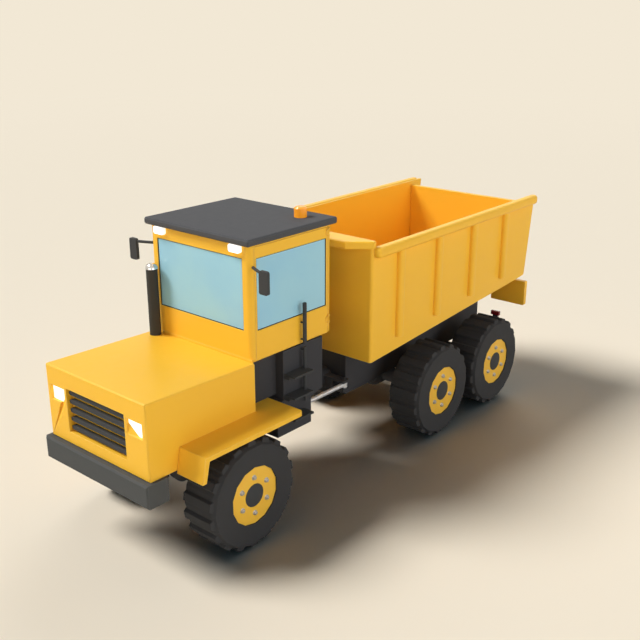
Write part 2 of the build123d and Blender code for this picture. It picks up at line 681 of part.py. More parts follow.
def build_fenders():
    under = FENDER_TOP - FENDER_SHEET
    plate = block((FENDER_REAR, FENDER_FRONT), (FENDER_INNER_Y, FENDER_OUTER_Y), (under, FENDER_TOP))
    rear_corner = plate.edges().filter_by(Axis.Z).sort_by_distance((FENDER_REAR, FENDER_OUTER_Y,
                                                                    FENDER_TOP))[0]
    plate = fillet(rear_corner, radius=FENDER_CORNER)
    lip = side_prism([(FENDER_FRONT - FENDER_SHEET, under), (FENDER_FRONT - FENDER_SHEET, FENDER_TOP),
                      (FENDER_FRONT, FENDER_TOP), (FENDER_FRONT + FENDER_LIP_LEAN, FENDER_LIP_BOTTOM),
                      (FENDER_FRONT + FENDER_LIP_LEAN - FENDER_SHEET, FENDER_LIP_BOTTOM)],
                     HOOD_HALF_WIDTH + FENDER_LIP_GAP, FENDER_OUTER_Y)
    fender = plate + lip
    write("fenders", Compound(children=[fender, mirror(fender, about=Plane.XZ)]))


def rounded_cab(inset, z0, z1):
    """A block with the cab's plan, moved in by a wall, between two heights."""
    shape = block((CAB_REAR + inset, CAB_FRONT - inset), (-CAB_HALF_WIDTH + inset, CAB_HALF_WIDTH - inset),
                  (z0, z1))
    return fillet(shape.edges().filter_by(Axis.Z), radius=CAB_CORNER - inset * CORNER_SHARE)


def door_hinges():
    """The fixed and the turning halves of the door's hinges: brackets with pins, and knuckles."""
    axis_x = DOOR_REAR - KNUCKLE_SET
    fixed, turning, bores = [], [], []
    for z in HINGE_HEIGHTS:
        for side in LEFT_RIGHT:
            near = z + side * (KNUCKLE_HEIGHT / 2 + KNUCKLE_GAP)
            span = (near, near + side * KNUCKLE_EAR)
            fixed.append(block((DOOR_REAR - PANEL_GAP - HINGE_LEAF, axis_x),
                               (CAB_HALF_WIDTH, HINGE_AXIS_Y), span))
            fixed.append(bar_z(*span, axis_x, HINGE_AXIS_Y, KNUCKLE_RADIUS))
        reach = KNUCKLE_HEIGHT / 2 + KNUCKLE_GAP + KNUCKLE_EAR + PIN_STUB
        fixed.append(bar_z(z - reach, z + reach, axis_x, HINGE_AXIS_Y, HINGE_PIN_RADIUS))
        span = (z - KNUCKLE_HEIGHT / 2, z + KNUCKLE_HEIGHT / 2)
        turning.append(bar_z(*span, axis_x, HINGE_AXIS_Y, KNUCKLE_RADIUS))
        turning.append(block((axis_x, DOOR_REAR + HINGE_LEAF), (CAB_HALF_WIDTH - FIT_GAP, HINGE_AXIS_Y),
                             span))
        bores.append(bar_z(span[0] - 1, span[1] + 1, axis_x, HINGE_AXIS_Y, HINGE_PIN_RADIUS + RUNNING_FIT))
    return fixed, turning, bores


def build_cab():
    fixed, turning, bores = door_hinges()
    window = (WINDOW_BOTTOM, WINDOW_TOP)
    side_window = (SIDE_WINDOW_REAR, SIDE_WINDOW_FRONT)
    past = CAB_WALL + CAB_CORNER
    shell = rounded_cab(0, CAB_FLOOR, CAB_TOP)
    low_rear = shell.edges().filter_by(Axis.Y).sort_by(Axis.Z)[:2].sort_by(Axis.X)[0]
    shell = chamfer(low_rear, length=CAB_LOW_CHAMFER)
    shell -= rounded_cab(CAB_WALL, CAB_FLOOR + CAB_WALL, CAB_TOP + 1)
    shell -= block((CAB_FRONT - past, CAB_FRONT + 1), (-WINDSCREEN_HALF_WIDTH, WINDSCREEN_HALF_WIDTH),
                   window)
    shell -= block((CAB_REAR - 1, CAB_REAR + past), (-REAR_WINDOW_HALF_WIDTH, REAR_WINDOW_HALF_WIDTH),
                   window)
    shell -= block(side_window, (-CAB_HALF_WIDTH - 1, past - CAB_HALF_WIDTH), window)
    shell -= block((DOOR_REAR - PANEL_GAP, DOOR_FRONT + PANEL_GAP),
                   (CAB_HALF_WIDTH - past, CAB_HALF_WIDTH + 1),
                   (DOOR_BOTTOM - PANEL_GAP, DOOR_TOP + PANEL_GAP))
    write("cab_shell", shell + fixed)

    door = block((DOOR_REAR, DOOR_FRONT), (CAB_HALF_WIDTH - CAB_WALL, CAB_HALF_WIDTH),
                 (DOOR_BOTTOM, DOOR_TOP))
    door -= block(side_window, (CAB_HALF_WIDTH - past, CAB_HALF_WIDTH + 1), window)
    write("cab_door", door + turning - bores)

    outer = CAB_HALF_WIDTH - GLASS_INSET
    write("door_glass", block(side_window, (outer - GLASS, outer), window))
    front_pane = (CAB_FRONT - GLASS_INSET - GLASS, CAB_FRONT - GLASS_INSET)
    rear_pane = (CAB_REAR + GLASS_INSET, CAB_REAR + GLASS_INSET + GLASS)
    panes = [block(front_pane, (-WINDSCREEN_HALF_WIDTH, WINDSCREEN_HALF_WIDTH), window),
             block(rear_pane, (-REAR_WINDOW_HALF_WIDTH, REAR_WINDOW_HALF_WIDTH), window),
             block(side_window, (-outer, -outer + GLASS), window)]
    write("cab_glass", Compound(children=panes))

    roof = block((ROOF_REAR, ROOF_FRONT), (-ROOF_HALF_WIDTH, ROOF_HALF_WIDTH),
                 (CAB_TOP, CAB_TOP + ROOF_THICKNESS))
    write("cab_roof", chamfer(roof.edges(), length=ROOF_EDGE))

    roof_top = CAB_TOP + ROOF_THICKNESS
    beacon = bar_z(roof_top, roof_top + BEACON_HEIGHT, BEACON_X, BEACON_Y, BEACON_RADIUS)
    write("beacon", chamfer(beacon.edges().sort_by(Axis.Z)[-1], length=BEACON_EDGE))


def build_cab_interior():
    floor = CAB_FLOOR + CAB_WALL
    seat_top = floor + SEAT_HEIGHT
    base = block((SEAT_X - SEAT_BASE / 2, SEAT_X + SEAT_BASE / 2), (-SEAT_BASE / 2, SEAT_BASE / 2),
                 (floor, seat_top - SEAT_PAD))
    cushion = block((SEAT_X - SEAT_LENGTH / 2, SEAT_X + SEAT_LENGTH / 2), (-SEAT_WIDTH / 2, SEAT_WIDTH / 2),
                    (seat_top - SEAT_PAD, seat_top))
    back_x = SEAT_X - SEAT_LENGTH / 2
    rest = block((back_x - SEAT_PAD, back_x), (-SEAT_WIDTH / 2, SEAT_WIDTH / 2),
                 (seat_top - SEAT_PAD, seat_top + SEAT_BACK))
    write("driver_seat", base + chamfer((cushion + rest).edges(), length=SEAT_EDGE))
    front = CAB_FRONT - CAB_WALL
    desk = floor + DASH_HEIGHT
    dash = side_prism([(front, floor), (front - DASH_FOOT, floor), (front - DASH_FOOT, desk - DASH_FOOT),
                       (front - DASH_DEPTH, desk - DASH_LIP), (front - DASH_DEPTH, desk), (front, desk)],
                      -DASH_HALF_WIDTH, DASH_HALF_WIDTH)
    hub = Vector(front - DASH_DEPTH - WHEEL_REACH, 0, desk + WHEEL_RISE)
    foot = Vector(front - DASH_FOOT, 0, desk - DASH_LIP)
    column = rod_between(foot, hub, COLUMN_RADIUS)
    outline = RegularPolygon(WHEEL_RADIUS, WHEEL_SIDES) - RegularPolygon(WHEEL_RADIUS - WHEEL_RIM,
                                                                         WHEEL_SIDES)
    wheel = extrude(outline, amount=WHEEL_RIM / 2, both=True)
    wheel += Box(WHEEL_SPOKE, 2 * WHEEL_RADIUS - WHEEL_RIM, WHEEL_RIM / 2)
    write("dashboard", dash + column + Plane(origin=hub, z_dir=hub - foot) * wheel)


def build_mirrors():
    head = block((MIRROR_X - MIRROR_DEPTH / 2, MIRROR_X + MIRROR_DEPTH / 2),
                 (MIRROR_INNER_Y, MIRROR_OUTER_Y),
                 (MIRROR_BOTTOM, MIRROR_TOP))
    head = fillet(head.edges().filter_by(Axis.X), radius=MIRROR_CORNER)
    root = (CAB_FRONT - CAB_CORNER, CAB_HALF_WIDTH - CAB_CORNER / 2, MIRROR_TOP - MIRROR_ARM_DROP)
    tip = (MIRROR_X, MIRROR_INNER_Y + MIRROR_ARM_RADIUS, MIRROR_TOP - MIRROR_ARM_DROP)
    arm = rod_between(root, tip, MIRROR_ARM_RADIUS) - rounded_cab(0, CAB_FLOOR, CAB_TOP)
    left = head + arm
    write("mirrors", Compound(children=[left, mirror(left, about=Plane.XZ)]))


def build_exhaust():
    base = HOOD_REAR_TOP + (HOOD_FRONT_TOP - HOOD_REAR_TOP) * (STACK_X - HOOD_REAR) / (HOOD_FRONT - HOOD_REAR)
    foot = base - STACK_RADIUS
    stack = bar_z(foot, STACK_TOP, STACK_X, STACK_Y, STACK_RADIUS)
    slope = side_prism([(HOOD_REAR, HOOD_REAR_TOP), (HOOD_FRONT, HOOD_FRONT_TOP), (HOOD_FRONT, foot),
                        (HOOD_REAR, foot)], -HOOD_HALF_WIDTH, HOOD_HALF_WIDTH)
    write("exhaust_stack", stack - slope)
    dome = None
    cap_radius = STACK_RADIUS + CAP_OVERHANG
    low = (Align.CENTER, Align.CENTER, Align.MIN)
    for i in range(CAP_STEPS):
        near, far = (math.radians(CAP_SWEEP * k / CAP_STEPS) for k in (i, i + 1))
        ring = Cone(cap_radius * math.cos(near), cap_radius * math.cos(far),
                    CAP_HEIGHT * (math.sin(far) - math.sin(near)), align=low)
        ring = Pos(STACK_X, STACK_Y, STACK_TOP + CAP_HEIGHT * math.sin(near)) * ring
        dome = ring if dome is None else dome + ring
    write("exhaust_cap", dome)


def build_side_boxes():
    tall = side_prism([(BOX_PANEL_FRONT, CAB_FLOOR), (BOX_REAR, CAB_FLOOR), (BOX_REAR, BOX_REAR_BOTTOM),
                       (BOX_STEP_REAR, BOX_KNEE), (BOX_STEP_REAR, BOX_BOTTOM), (BOX_FRONT, BOX_BOTTOM),
                       (BOX_FRONT, BOX_SHOULDER), (BOX_PANEL_FRONT, BOX_SHOULDER)], BOX_INNER_Y,
                      BOX_OUTER_Y)
    inset = block((BOX_PANEL_FRONT, HOOD_REAR - BOX_HOOD_GAP), (BOX_INNER_Y, BOX_INSET_OUTER_Y),
                  (FENDER_TOP, CAB_FLOOR))
    box = tall + inset
    write("side_boxes", Compound(children=[box, mirror(box, about=Plane.XZ)]))


def build_steps():
    parts = None
    for z in STEP_HEIGHTS:
        tread = block((STEP_REAR, STEP_FRONT), (BOX_OUTER_Y, BOX_OUTER_Y + STEP_DEPTH), (z - STEP_SHEET, z))
        for x in (STEP_REAR, STEP_FRONT - STEP_SHEET):
            tread += side_prism([(x, z), (x + STEP_SHEET, z), (x + STEP_SHEET, z - STEP_CHEEK),
                                 (x, z - STEP_CHEEK)],
                                BOX_OUTER_Y, BOX_OUTER_Y + STEP_DEPTH / 2)
        parts = tread if parts is None else parts + tread
    rail = bar_z(RAIL_FOOT, RAIL_SPLIT[0], RAIL_X, RAIL_Y, RAIL_TUBE)
    for z in (RAIL_FOOT + RAIL_STAY, RAIL_SPLIT[0] - RAIL_STAY):
        rail += bar_y(BOX_OUTER_Y, RAIL_Y, RAIL_X, z, STAY_RADIUS)
    write("access_steps", parts + rail)
    upper = bar_z(RAIL_SPLIT[1], RAIL_HEAD, RAIL_X, RAIL_Y, RAIL_TUBE)
    for z in (RAIL_SPLIT[1] + RAIL_STAY, (RAIL_SPLIT[1] + RAIL_HEAD) / 2):
        upper += bar_y(CAB_HALF_WIDTH, RAIL_Y, RAIL_X, z, STAY_RADIUS)
    write("door_rail", upper)


# ---------------------------------------------------------------- hitch and steering
def build_hitch():
    link = bar_z(HITCH_Z - HITCH_HALF_HEIGHT, HITCH_Z + HITCH_HALF_HEIGHT, HITCH_X, 0, HITCH_BLOCK_RADIUS)
    link += bar_x(HITCH_X, ROLL_TUBE_END, 0, HITCH_Z, ROLL_TUBE_RADIUS)
    link -= bar_z(HITCH_Z - ROLL_TUBE_RADIUS - 1, HITCH_Z + ROLL_TUBE_RADIUS + 1, HITCH_X, 0,
                  HITCH_PIN_RADIUS + RUNNING_FIT)
    yoke_tip = STEER_Y + STEER_EYE_RADIUS + YOKE_TIP
    slot_half = STEER_EYE_HEIGHT / 2 + STEER_LUG_GAP
    yoke = block((YOKE_REAR, YOKE_FRONT), (-yoke_tip, yoke_tip),
                 (HITCH_Z - YOKE_HALF_HEIGHT, HITCH_Z + YOKE_HALF_HEIGHT))
    for side in LEFT_RIGHT:
        yoke -= block((YOKE_REAR, YOKE_FRONT), (side * YOKE_SLOT_Y, side * yoke_tip),
                      (STEER_Z - slot_half, STEER_Z + slot_half))
    link += yoke
    for side in LEFT_RIGHT:
        for end in LEFT_RIGHT:
            face = HITCH_Z + end * YOKE_HALF_HEIGHT
            link += bar_z(face, face + end * PIN_HEAD, STEER_REAR_X, side * STEER_Y, STEER_PIN_RADIUS)
    write("hitch_link", link)


def build_steering():
    eye_half = STEER_EYE_HEIGHT / 2
    cheek_x = (STEER_FRONT_X - STEER_EYE_CHEEK, STEER_FRONT_X + STEER_EYE_CHEEK)
    for side, word in zip(LEFT_RIGHT, ("left", "right")):
        y = side * STEER_Y
        barrel = bar_x(STEER_FRONT_X, STEER_GLAND_X, y, STEER_Z, STEER_BARREL_RADIUS)
        barrel -= bar_x(STEER_FRONT_X - STEER_BORE_START, STEER_GLAND_X - 1, y, STEER_Z,
                        STEER_ROD_RADIUS + FIT_GAP)
        barrel += bar_z(STEER_Z - eye_half, STEER_Z + eye_half, STEER_FRONT_X, y, STEER_EYE_RADIUS)
        for end in LEFT_RIGHT:
            barrel -= block(cheek_x, (y - STEER_EYE_CHEEK, y + STEER_EYE_CHEEK),
                            (STEER_Z + end * eye_half, STEER_Z + end * STEER_EYE_CHEEK))
        barrel -= bar_z(STEER_Z - STEER_EYE_CHEEK, STEER_Z + STEER_EYE_CHEEK, STEER_FRONT_X, y,
                        STEER_PIN_RADIUS + RUNNING_FIT)
        write(f"steer_barrel_{word}", barrel)
        rod = bar_x(STEER_GLAND_X + STEER_ROD_INSIDE, STEER_REAR_X + STEER_EYE_RADIUS / 2, y, STEER_Z,
                    STEER_ROD_RADIUS)
        rod += bar_z(STEER_Z - eye_half, STEER_Z + eye_half, STEER_REAR_X, y, STEER_EYE_RADIUS)
        rod += bar_z(STEER_Z - eye_half - PIN_STUB, STEER_Z + eye_half + PIN_STUB, STEER_REAR_X, y,
                     STEER_PIN_RADIUS)
        write(f"steer_rod_{word}", rod)


# ---------------------------------------------------------------- rear unit
def rear_rail():
    """The left rail of the rear frame, with the tip ear, the bogie's hanger and the tail lamp's outrigger."""
    rail_inner = REAR_RAIL_OUTER_Y - REAR_RAIL_WALL
    across = (rail_inner, REAR_RAIL_OUTER_Y)
    outline = [(REAR_FRAME_FRONT, REAR_FRAME_BOTTOM), (REAR_FRAME_FRONT, REAR_FRAME_TOP),
               (REAR_FRAME_REAR, REAR_FRAME_TOP), (REAR_FRAME_REAR, REAR_FRAME_TAIL),
               (REAR_AXLE_X - TAIL_TAPER_START, REAR_FRAME_RAISED),
               (REAR_FRAME_STEP_X[1], REAR_FRAME_RAISED),
               (REAR_FRAME_STEP_X[0], REAR_FRAME_BOTTOM)]
    rail = side_prism(outline, *across) + bar_y(*across, TIP_X, TIP_Z, TIP_EAR_RADIUS)
    rail += block((TIP_X - TIP_EAR_RADIUS, TIP_X + TIP_EAR_RADIUS), across, (REAR_FRAME_TOP, TIP_Z))
    rail += block((TRUNNION_X - HANGER_HALF_LENGTH, TRUNNION_X + HANGER_HALF_LENGTH), across,
                  (AXLE_Z - HANGER_FOOT, REAR_FRAME_RAISED))
    rail += bar_y(rail_inner, BEAM_INNER_Y, TRUNNION_X, AXLE_Z, TRUNNION_RADIUS)
    bar_z_span = (LAMP_BAR_Z - LAMP_BAR / 2, LAMP_BAR_Z + LAMP_BAR / 2)
    bar_x_span = (REAR_FRAME_REAR, REAR_FRAME_REAR + LAMP_BAR)
    length, width, height = TAIL_LAMP_SIZE
    rail += block(bar_x_span, across, (bar_z_span[0], REAR_FRAME_TAIL + LAMP_BAR))
    rail += block(bar_x_span, (rail_inner, TAIL_LAMP_Y + LAMP_ARM / 2), bar_z_span)
    rail += block((TAIL_LAMP_X - length / 2, bar_x_span[1]),
                  (TAIL_LAMP_Y - LAMP_ARM / 2, TAIL_LAMP_Y + LAMP_ARM / 2), bar_z_span)
    return rail + block((TAIL_LAMP_X - LAMP_STALK / 2, TAIL_LAMP_X + LAMP_STALK / 2),
                        (TAIL_LAMP_Y - width / 4, TAIL_LAMP_Y + width / 4),
                        (LAMP_BAR_Z, TAIL_LAMP_Z - height / 2))


def tow_member():
    """The rear cross member and the two lugs of the tow pin."""
    rail_inner = REAR_RAIL_OUTER_Y - REAR_RAIL_WALL
    half = TOW_SPAN / 2
    member = block((REAR_FRAME_REAR, REAR_FRAME_REAR + TAIL_MEMBER), (-rail_inner, rail_inner),
                   (REAR_FRAME_TAIL, TOW_Z + half + TAIL_MEMBER_RISE))
    for end in LEFT_RIGHT:
        near, far = TOW_Z + end * (half - TOW_LUG), TOW_Z + end * half
        lug = block((REAR_FRAME_REAR, TOW_X), (-TOW_LUG_RADIUS, TOW_LUG_RADIUS), (near, far))
        member += lug + bar_z(near, far, TOW_X, 0, TOW_LUG_RADIUS)
    return member - bar_z(TOW_Z - half - 1, TOW_Z + half + 1, TOW_X, 0, TOW_BORE_RADIUS)


def build_rear_frame():
    rail = rear_rail()
    write("rear_frame", Compound(children=[rail, mirror(rail, about=Plane.XZ)]))
    rail_inner = REAR_RAIL_OUTER_Y - REAR_RAIL_WALL
    across = (-rail_inner, rail_inner)
    nose_end = ROLL_TUBE_END - NOSE_END_WALL
    nose = block((REAR_FRAME_FRONT, nose_end), across, (REAR_FRAME_BOTTOM, REAR_FRAME_TOP))
    nose -= bar_x(REAR_FRAME_FRONT, ROLL_TUBE_END - ROLL_TUBE_END_GAP, 0, HITCH_Z,
                  ROLL_TUBE_RADIUS + RUNNING_FIT)
    members = [block((x, x + REAR_MEMBER), across, (z, z + REAR_MEMBER_HEIGHT)) for x, z in REAR_MEMBER_XZ]
    pins = [bar_y(*across, HOIST_FOOT[0], HOIST_FOOT[1], HOIST_PIN_RADIUS),
            bar_y(*across, TIP_X, TIP_Z, TIP_PIN_RADIUS)]
    write("rear_cross_members", Compound(children=[nose, tow_member()] + members + pins))


def build_rear_axles():
    front, rear = MID_AXLE_X + BEAM_END, REAR_AXLE_X - BEAM_END
    beam = side_prism([(front, AXLE_Z - BEAM_END_HALF_HEIGHT), (front, AXLE_Z + BEAM_END_HALF_HEIGHT),
                       (TRUNNION_X, AXLE_Z + BEAM_CROWN), (rear, AXLE_Z + BEAM_END_HALF_HEIGHT),
                       (rear, AXLE_Z - BEAM_END_HALF_HEIGHT), (TRUNNION_X, AXLE_Z - BEAM_CROWN)],
                      BEAM_INNER_Y, BEAM_OUTER_Y)
    shaft = bar_x(MID_AXLE_X, REAR_AXLE_X, 0, AXLE_Z + SHAFT_RISE, SHAFT_RADIUS)
    write("rear_axles", axle_housing(MID_AXLE_X) + axle_housing(REAR_AXLE_X) + both_sides(beam) + shaft)


def build_tail_lamps():
    length, width, height = TAIL_LAMP_SIZE
    lamp = chamfer(Box(length, width, height).edges(), length=TAIL_LAMP_EDGE)
    lamps = [Pos(TAIL_LAMP_X, side * TAIL_LAMP_Y, TAIL_LAMP_Z) * lamp for side in LEFT_RIGHT]
    write("tail_lamps", Compound(children=lamps))


# ---------------------------------------------------------------- dump body
def rise_line(x):
    """How much higher the walls and their caps are at a station than at the body's front."""
    return RAIL_CAP_RISE * (BODY_FRONT - x) / (BODY_FRONT - BODY_REAR_X)


def body_shell():
    """Floor, side walls and front wall, open above and at the tail."""
    wall_top = RAIL_CAP_TOP - WALL_TOP_DROP
    shell = side_prism([(BODY_FRONT, BODY_FRONT_BOTTOM), (BODY_BEND_X, BODY_REAR_BOTTOM),
                        (BODY_TAIL_X, BODY_TAIL_Z),
                        (BODY_REAR_X, wall_top + RAIL_CAP_RISE), (BODY_FRONT, wall_top)],
                       -BODY_HALF_WIDTH, BODY_HALF_WIDTH)
    front_edges = shell.edges().filter_by(Axis.Z).filter_by(lambda e: e.center().X > BODY_FRONT - 1)
    shell = fillet(front_edges, radius=BODY_CORNER)
    tail_edge = shell.edges().filter_by(Axis.Y).sort_by_distance((BODY_TAIL_X, 0, BODY_TAIL_Z))[0]
    shell = fillet(tail_edge, radius=TAIL_ROUND)
    front = BODY_FRONT - BODY_WALL
    above = RAIL_CAP_TOP + RAIL_CAP_RISE
    inner = [(front, BODY_FRONT_BOTTOM + BODY_WALL), (BODY_BEND_X, BODY_REAR_BOTTOM + BODY_WALL),
             (BODY_TAIL_X - TAIL_OPEN, BODY_TAIL_Z + BODY_WALL + TAIL_FLOOR_RISE),
             (BODY_REAR_X - TAIL_OPEN, above), (front, above)]
    return shell - side_prism(inner, -BODY_HALF_WIDTH + BODY_WALL, BODY_HALF_WIDTH - BODY_WALL)


def wall_cap():
    """The left wall's rounded cap rail, which rises to the rear."""
    front, rear = BODY_FRONT - CAP_START, BODY_REAR_X + CAP_END
    ends = [(x, RAIL_CAP_BOTTOM + rise_line(x), RAIL_CAP_TOP + rise_line(x)) for x in (front, rear)]
    cap = side_prism([(ends[0][0], ends[0][1]), (ends[1][0], ends[1][1]), (ends[1][0], ends[1][2]),
                      (ends[0][0], ends[0][2])], RAIL_CAP_INNER_Y, RAIL_CAP_OUTER_Y)
    return fillet(cap.edges(), radius=RAIL_CAP_ROUND)


def wall_rib(x):
    """One of the left wall's ribs, with rounded outer edges."""
    rib = block((x - RIB_WIDTH / 2, x + RIB_WIDTH / 2),
                (BODY_HALF_WIDTH - RIB_ROOT, BODY_HALF_WIDTH + RIB_STANDOUT),
                (floor_line(x) + RIB_FOOT, RAIL_CAP_BOTTOM + rise_line(x) + RIB_ROOT))
    outer = rib.edges().filter_by(Axis.Z).filter_by(lambda e: e.center().Y > BODY_HALF_WIDTH)
    return fillet(outer, radius=RIB_ROUND)


def splash_plate():
    """The left splash plate under the tail, on its bracket."""
    plate = block((SPLASH_PLATE_X, SPLASH_PLATE_X + SPLASH_PLATE_THICKNESS), SPLASH_PLATE_Y, SPLASH_PLATE_Z)
    plate = fillet(plate.edges().filter_by(Axis.X), radius=SPLASH_PLATE_ROUND)
    y0 = SPLASH_PLATE_Y[0] + SPLASH_BRACKET_Y
    front = SPLASH_PLATE_X + SPLASH_BRACKET_LENGTH
    return plate + block((SPLASH_PLATE_X + SPLASH_PLATE_THICKNESS / 2, front), (y0, y0 + SPLASH_BRACKET),
                         (SPLASH_PLATE_Z[1] - SPLASH_BRACKET_HEIGHT, floor_line(front) + PLATE_SINK))


def tip_lug():
    """The left hinge lug, from the tip pin up to the floor."""
    across = (BODY_LUG_INNER_Y, REAR_RAIL_OUTER_Y - REAR_RAIL_WALL - PANEL_GAP)
    front, rear = TIP_X + TIP_LUG_FRONT, TIP_X - TIP_LUG_HALF_LENGTH
    lug = side_prism([(rear, TIP_Z), (TIP_X + TIP_LUG_HALF_LENGTH, TIP_Z),
                      (front, floor_line(front) + PLATE_SINK),
                      (rear, floor_line(rear) + PLATE_SINK)], *across)
    lug += bar_y(*across, TIP_X, TIP_Z, TIP_LUG_HALF_LENGTH)
    return lug - bar_y(*across, TIP_X, TIP_Z, TIP_PIN_RADIUS + RUNNING_FIT)


def seat_beam():
    """The cross beam that rests on the rear frame."""
    seat = REAR_FRAME_TOP + FIT_GAP
    front, rear = SEAT_BEAM_X
    return side_prism([(front, seat), (rear, seat), (rear, floor_line(rear) + PLATE_SINK),
                       (front, floor_line(front) + PLATE_SINK)], -SEAT_BEAM_HALF_WIDTH,
                      SEAT_BEAM_HALF_WIDTH)


def hoist_lugs():
    """Three lugs under the floor that hold the hoist rods' pins."""
    head_x, head_z = HOIST_HEAD
    near = HOIST_Y + HOIST_EYE_WIDTH / 2 + HOIST_LUG_GAP
    front, rear = head_x + HOIST_LUG_ROOT, head_x - HOIST_LUG_ROOT
    lugs = []
    for y0, y1 in ((near, near + HOIST_LUG), (-HOIST_LUG / 2, HOIST_LUG / 2), (-near - HOIST_LUG, -near)):
        lug = side_prism([(head_x - HOIST_LUG_RADIUS, head_z), (head_x + HOIST_LUG_RADIUS, head_z),
                          (front, floor_line(front) + PLATE_SINK), (rear, floor_line(rear) + PLATE_SINK)],
                         y0, y1)
        lugs.append(lug + bar_y(y0, y1, head_x, head_z, HOIST_LUG_RADIUS))
    return lugs


def spill_guard():
    """The lip over the front wall, narrower towards the cab."""
    inner = BODY_FRONT - BODY_WALL
    outline = [(inner, GUARD_REAR_HALF_WIDTH), (BODY_FRONT, GUARD_REAR_HALF_WIDTH),
               (GUARD_FRONT, GUARD_FRONT_HALF_WIDTH), (GUARD_FRONT, -GUARD_FRONT_HALF_WIDTH),
               (BODY_FRONT, -GUARD_REAR_HALF_WIDTH), (inner, -GUARD_REAR_HALF_WIDTH)]
    guard = plan_prism(outline, GUARD_BOTTOM, GUARD_TOP)
    return fillet(guard.edges().filter_by(lambda e: e.center().X > inner), radius=GUARD_EDGE)


def build_dump_body():
    left = wall_cap() + splash_plate() + tip_lug()
    for i in range(RIB_COUNT):
        left += wall_rib(RIB_FIRST_X - i * RIB_PITCH)
    body = body_shell() + both_sides(left) + seat_beam() + hoist_lugs() + spill_guard()
    # holes of the tailgate's pins, blind from inside the side walls
    for side in LEFT_RIGHT:
        body -= bar_y(side * (BODY_HALF_WIDTH - BODY_WALL), side * (BODY_HALF_WIDTH - PIN_HOLE_WALL),
                      TAILGATE_X, TAILGATE_PIN_Z, TAILGATE_PIN_RADIUS + RUNNING_FIT)
    write("dump_body", body)


def build_tailgate():
    inner = BODY_HALF_WIDTH - BODY_WALL - PANEL_GAP
    gate = block((TAILGATE_X - TAILGATE_THICKNESS / 2, TAILGATE_X + TAILGATE_THICKNESS / 2),
                 (-inner, inner),
                 (BODY_REAR_BOTTOM + BODY_WALL + GATE_FOOT_GAP, TAILGATE_TOP))
    pin_tip = BODY_HALF_WIDTH - PIN_HOLE_WALL - PIN_END_GAP
    for side in LEFT_RIGHT:
        gate += bar_y(side * (inner - PIN_ROOT), side * pin_tip, TAILGATE_X, TAILGATE_PIN_Z,
                      TAILGATE_PIN_RADIUS)
    write("tailgate", gate)


def build_hoist():
    foot, head = Vector(HOIST_FOOT[0], 0, HOIST_FOOT[1]), Vector(HOIST_HEAD[0], 0, HOIST_HEAD[1])
    along = (head - foot).normalized()
    eye_half = HOIST_EYE_WIDTH / 2
    barrels, rods = [], []
    for side in LEFT_RIGHT:
        y = side * HOIST_Y
        across = (y - eye_half, y + eye_half)
        base, tip = foot + Vector(0, y, 0), head + Vector(0, y, 0)
        mouth = base + along * HOIST_BARREL_LENGTH
        barrel = rod_between(base + along * HOIST_BARREL_START, mouth, HOIST_BARREL_RADIUS)
        barrel += bar_y(*across, foot.X, foot.Z, HOIST_EYE_RADIUS)
        barrel -= rod_between(base + along * HOIST_BORE_START, mouth + along, HOIST_ROD_RADIUS + FIT_GAP)
        barrel -= bar_y(*across, foot.X, foot.Z, HOIST_PIN_RADIUS + RUNNING_FIT)
        barrels.append(barrel)
        rod = rod_between(base + along * (HOIST_BORE_START + HOIST_ROD_END_GAP), tip - along * HOIST_NECK,
                          HOIST_ROD_RADIUS)
        rod += bar_y(*across, head.X, head.Z, HOIST_ROD_EYE_RADIUS)
        rod += bar_y(across[0] - PIN_STUB, across[1] + PIN_STUB, head.X, head.Z, HOIST_PIN_RADIUS)
        rods.append(rod)
    write("hoist_barrels", Compound(children=barrels))
    write("hoist_rods", Compound(children=rods))


# ---------------------------------------------------------------- build everything
os.makedirs("parts", exist_ok=True)
build_wheels()
write("front_axle", axle_housing(0.0))
build_front_frame()
build_engine()
build_bumper()
build_hood()
build_grille()
build_front_lamps()
build_fenders()
build_cab()
build_cab_interior()
build_mirrors()
build_exhaust()
build_side_boxes()
build_steps()
build_hitch()
build_steering()
build_rear_frame()
build_rear_axles()
build_tail_lamps()
build_dump_body()
build_tailgate()
build_hoist()
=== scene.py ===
"""Finishes, small trim, studio and camera for an articulated dump truck."""

import logging
import math
from dataclasses import dataclass, field
from enum import Enum
from typing import Sequence

import bmesh
import bpy
from mathutils import Matrix, Vector


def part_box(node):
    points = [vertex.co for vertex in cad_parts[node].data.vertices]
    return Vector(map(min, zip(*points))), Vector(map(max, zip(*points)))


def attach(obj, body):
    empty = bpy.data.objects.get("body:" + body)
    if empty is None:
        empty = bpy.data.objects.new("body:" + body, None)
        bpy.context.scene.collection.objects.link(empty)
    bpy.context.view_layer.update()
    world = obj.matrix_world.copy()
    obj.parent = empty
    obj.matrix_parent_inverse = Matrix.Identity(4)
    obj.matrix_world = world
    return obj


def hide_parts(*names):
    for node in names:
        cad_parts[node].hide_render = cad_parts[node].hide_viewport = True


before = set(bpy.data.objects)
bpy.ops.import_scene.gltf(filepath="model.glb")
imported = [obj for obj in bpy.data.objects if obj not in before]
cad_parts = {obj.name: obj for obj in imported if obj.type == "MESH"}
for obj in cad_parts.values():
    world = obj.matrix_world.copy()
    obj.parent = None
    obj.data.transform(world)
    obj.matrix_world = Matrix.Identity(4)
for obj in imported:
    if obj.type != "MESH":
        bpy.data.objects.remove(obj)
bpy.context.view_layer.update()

LOG = logging.getLogger("dump_truck")
MM = 0.001
HEXAGON = 6

# Noise seldom leaves this band, so patches are stretched out from it.
NOISE_BAND = (0.35, 0.65)
PATCH_DETAIL = 3.0
# The wave texture runs through 20 radians in one unit of its scale.
WAVE_UNIT = 20 / math.tau
# Cosine between the flat and the rounded normal where an edge begins, and where it is full.
EDGE_BAND = (0.995, 0.80)
BEVEL_SAMPLES = 6

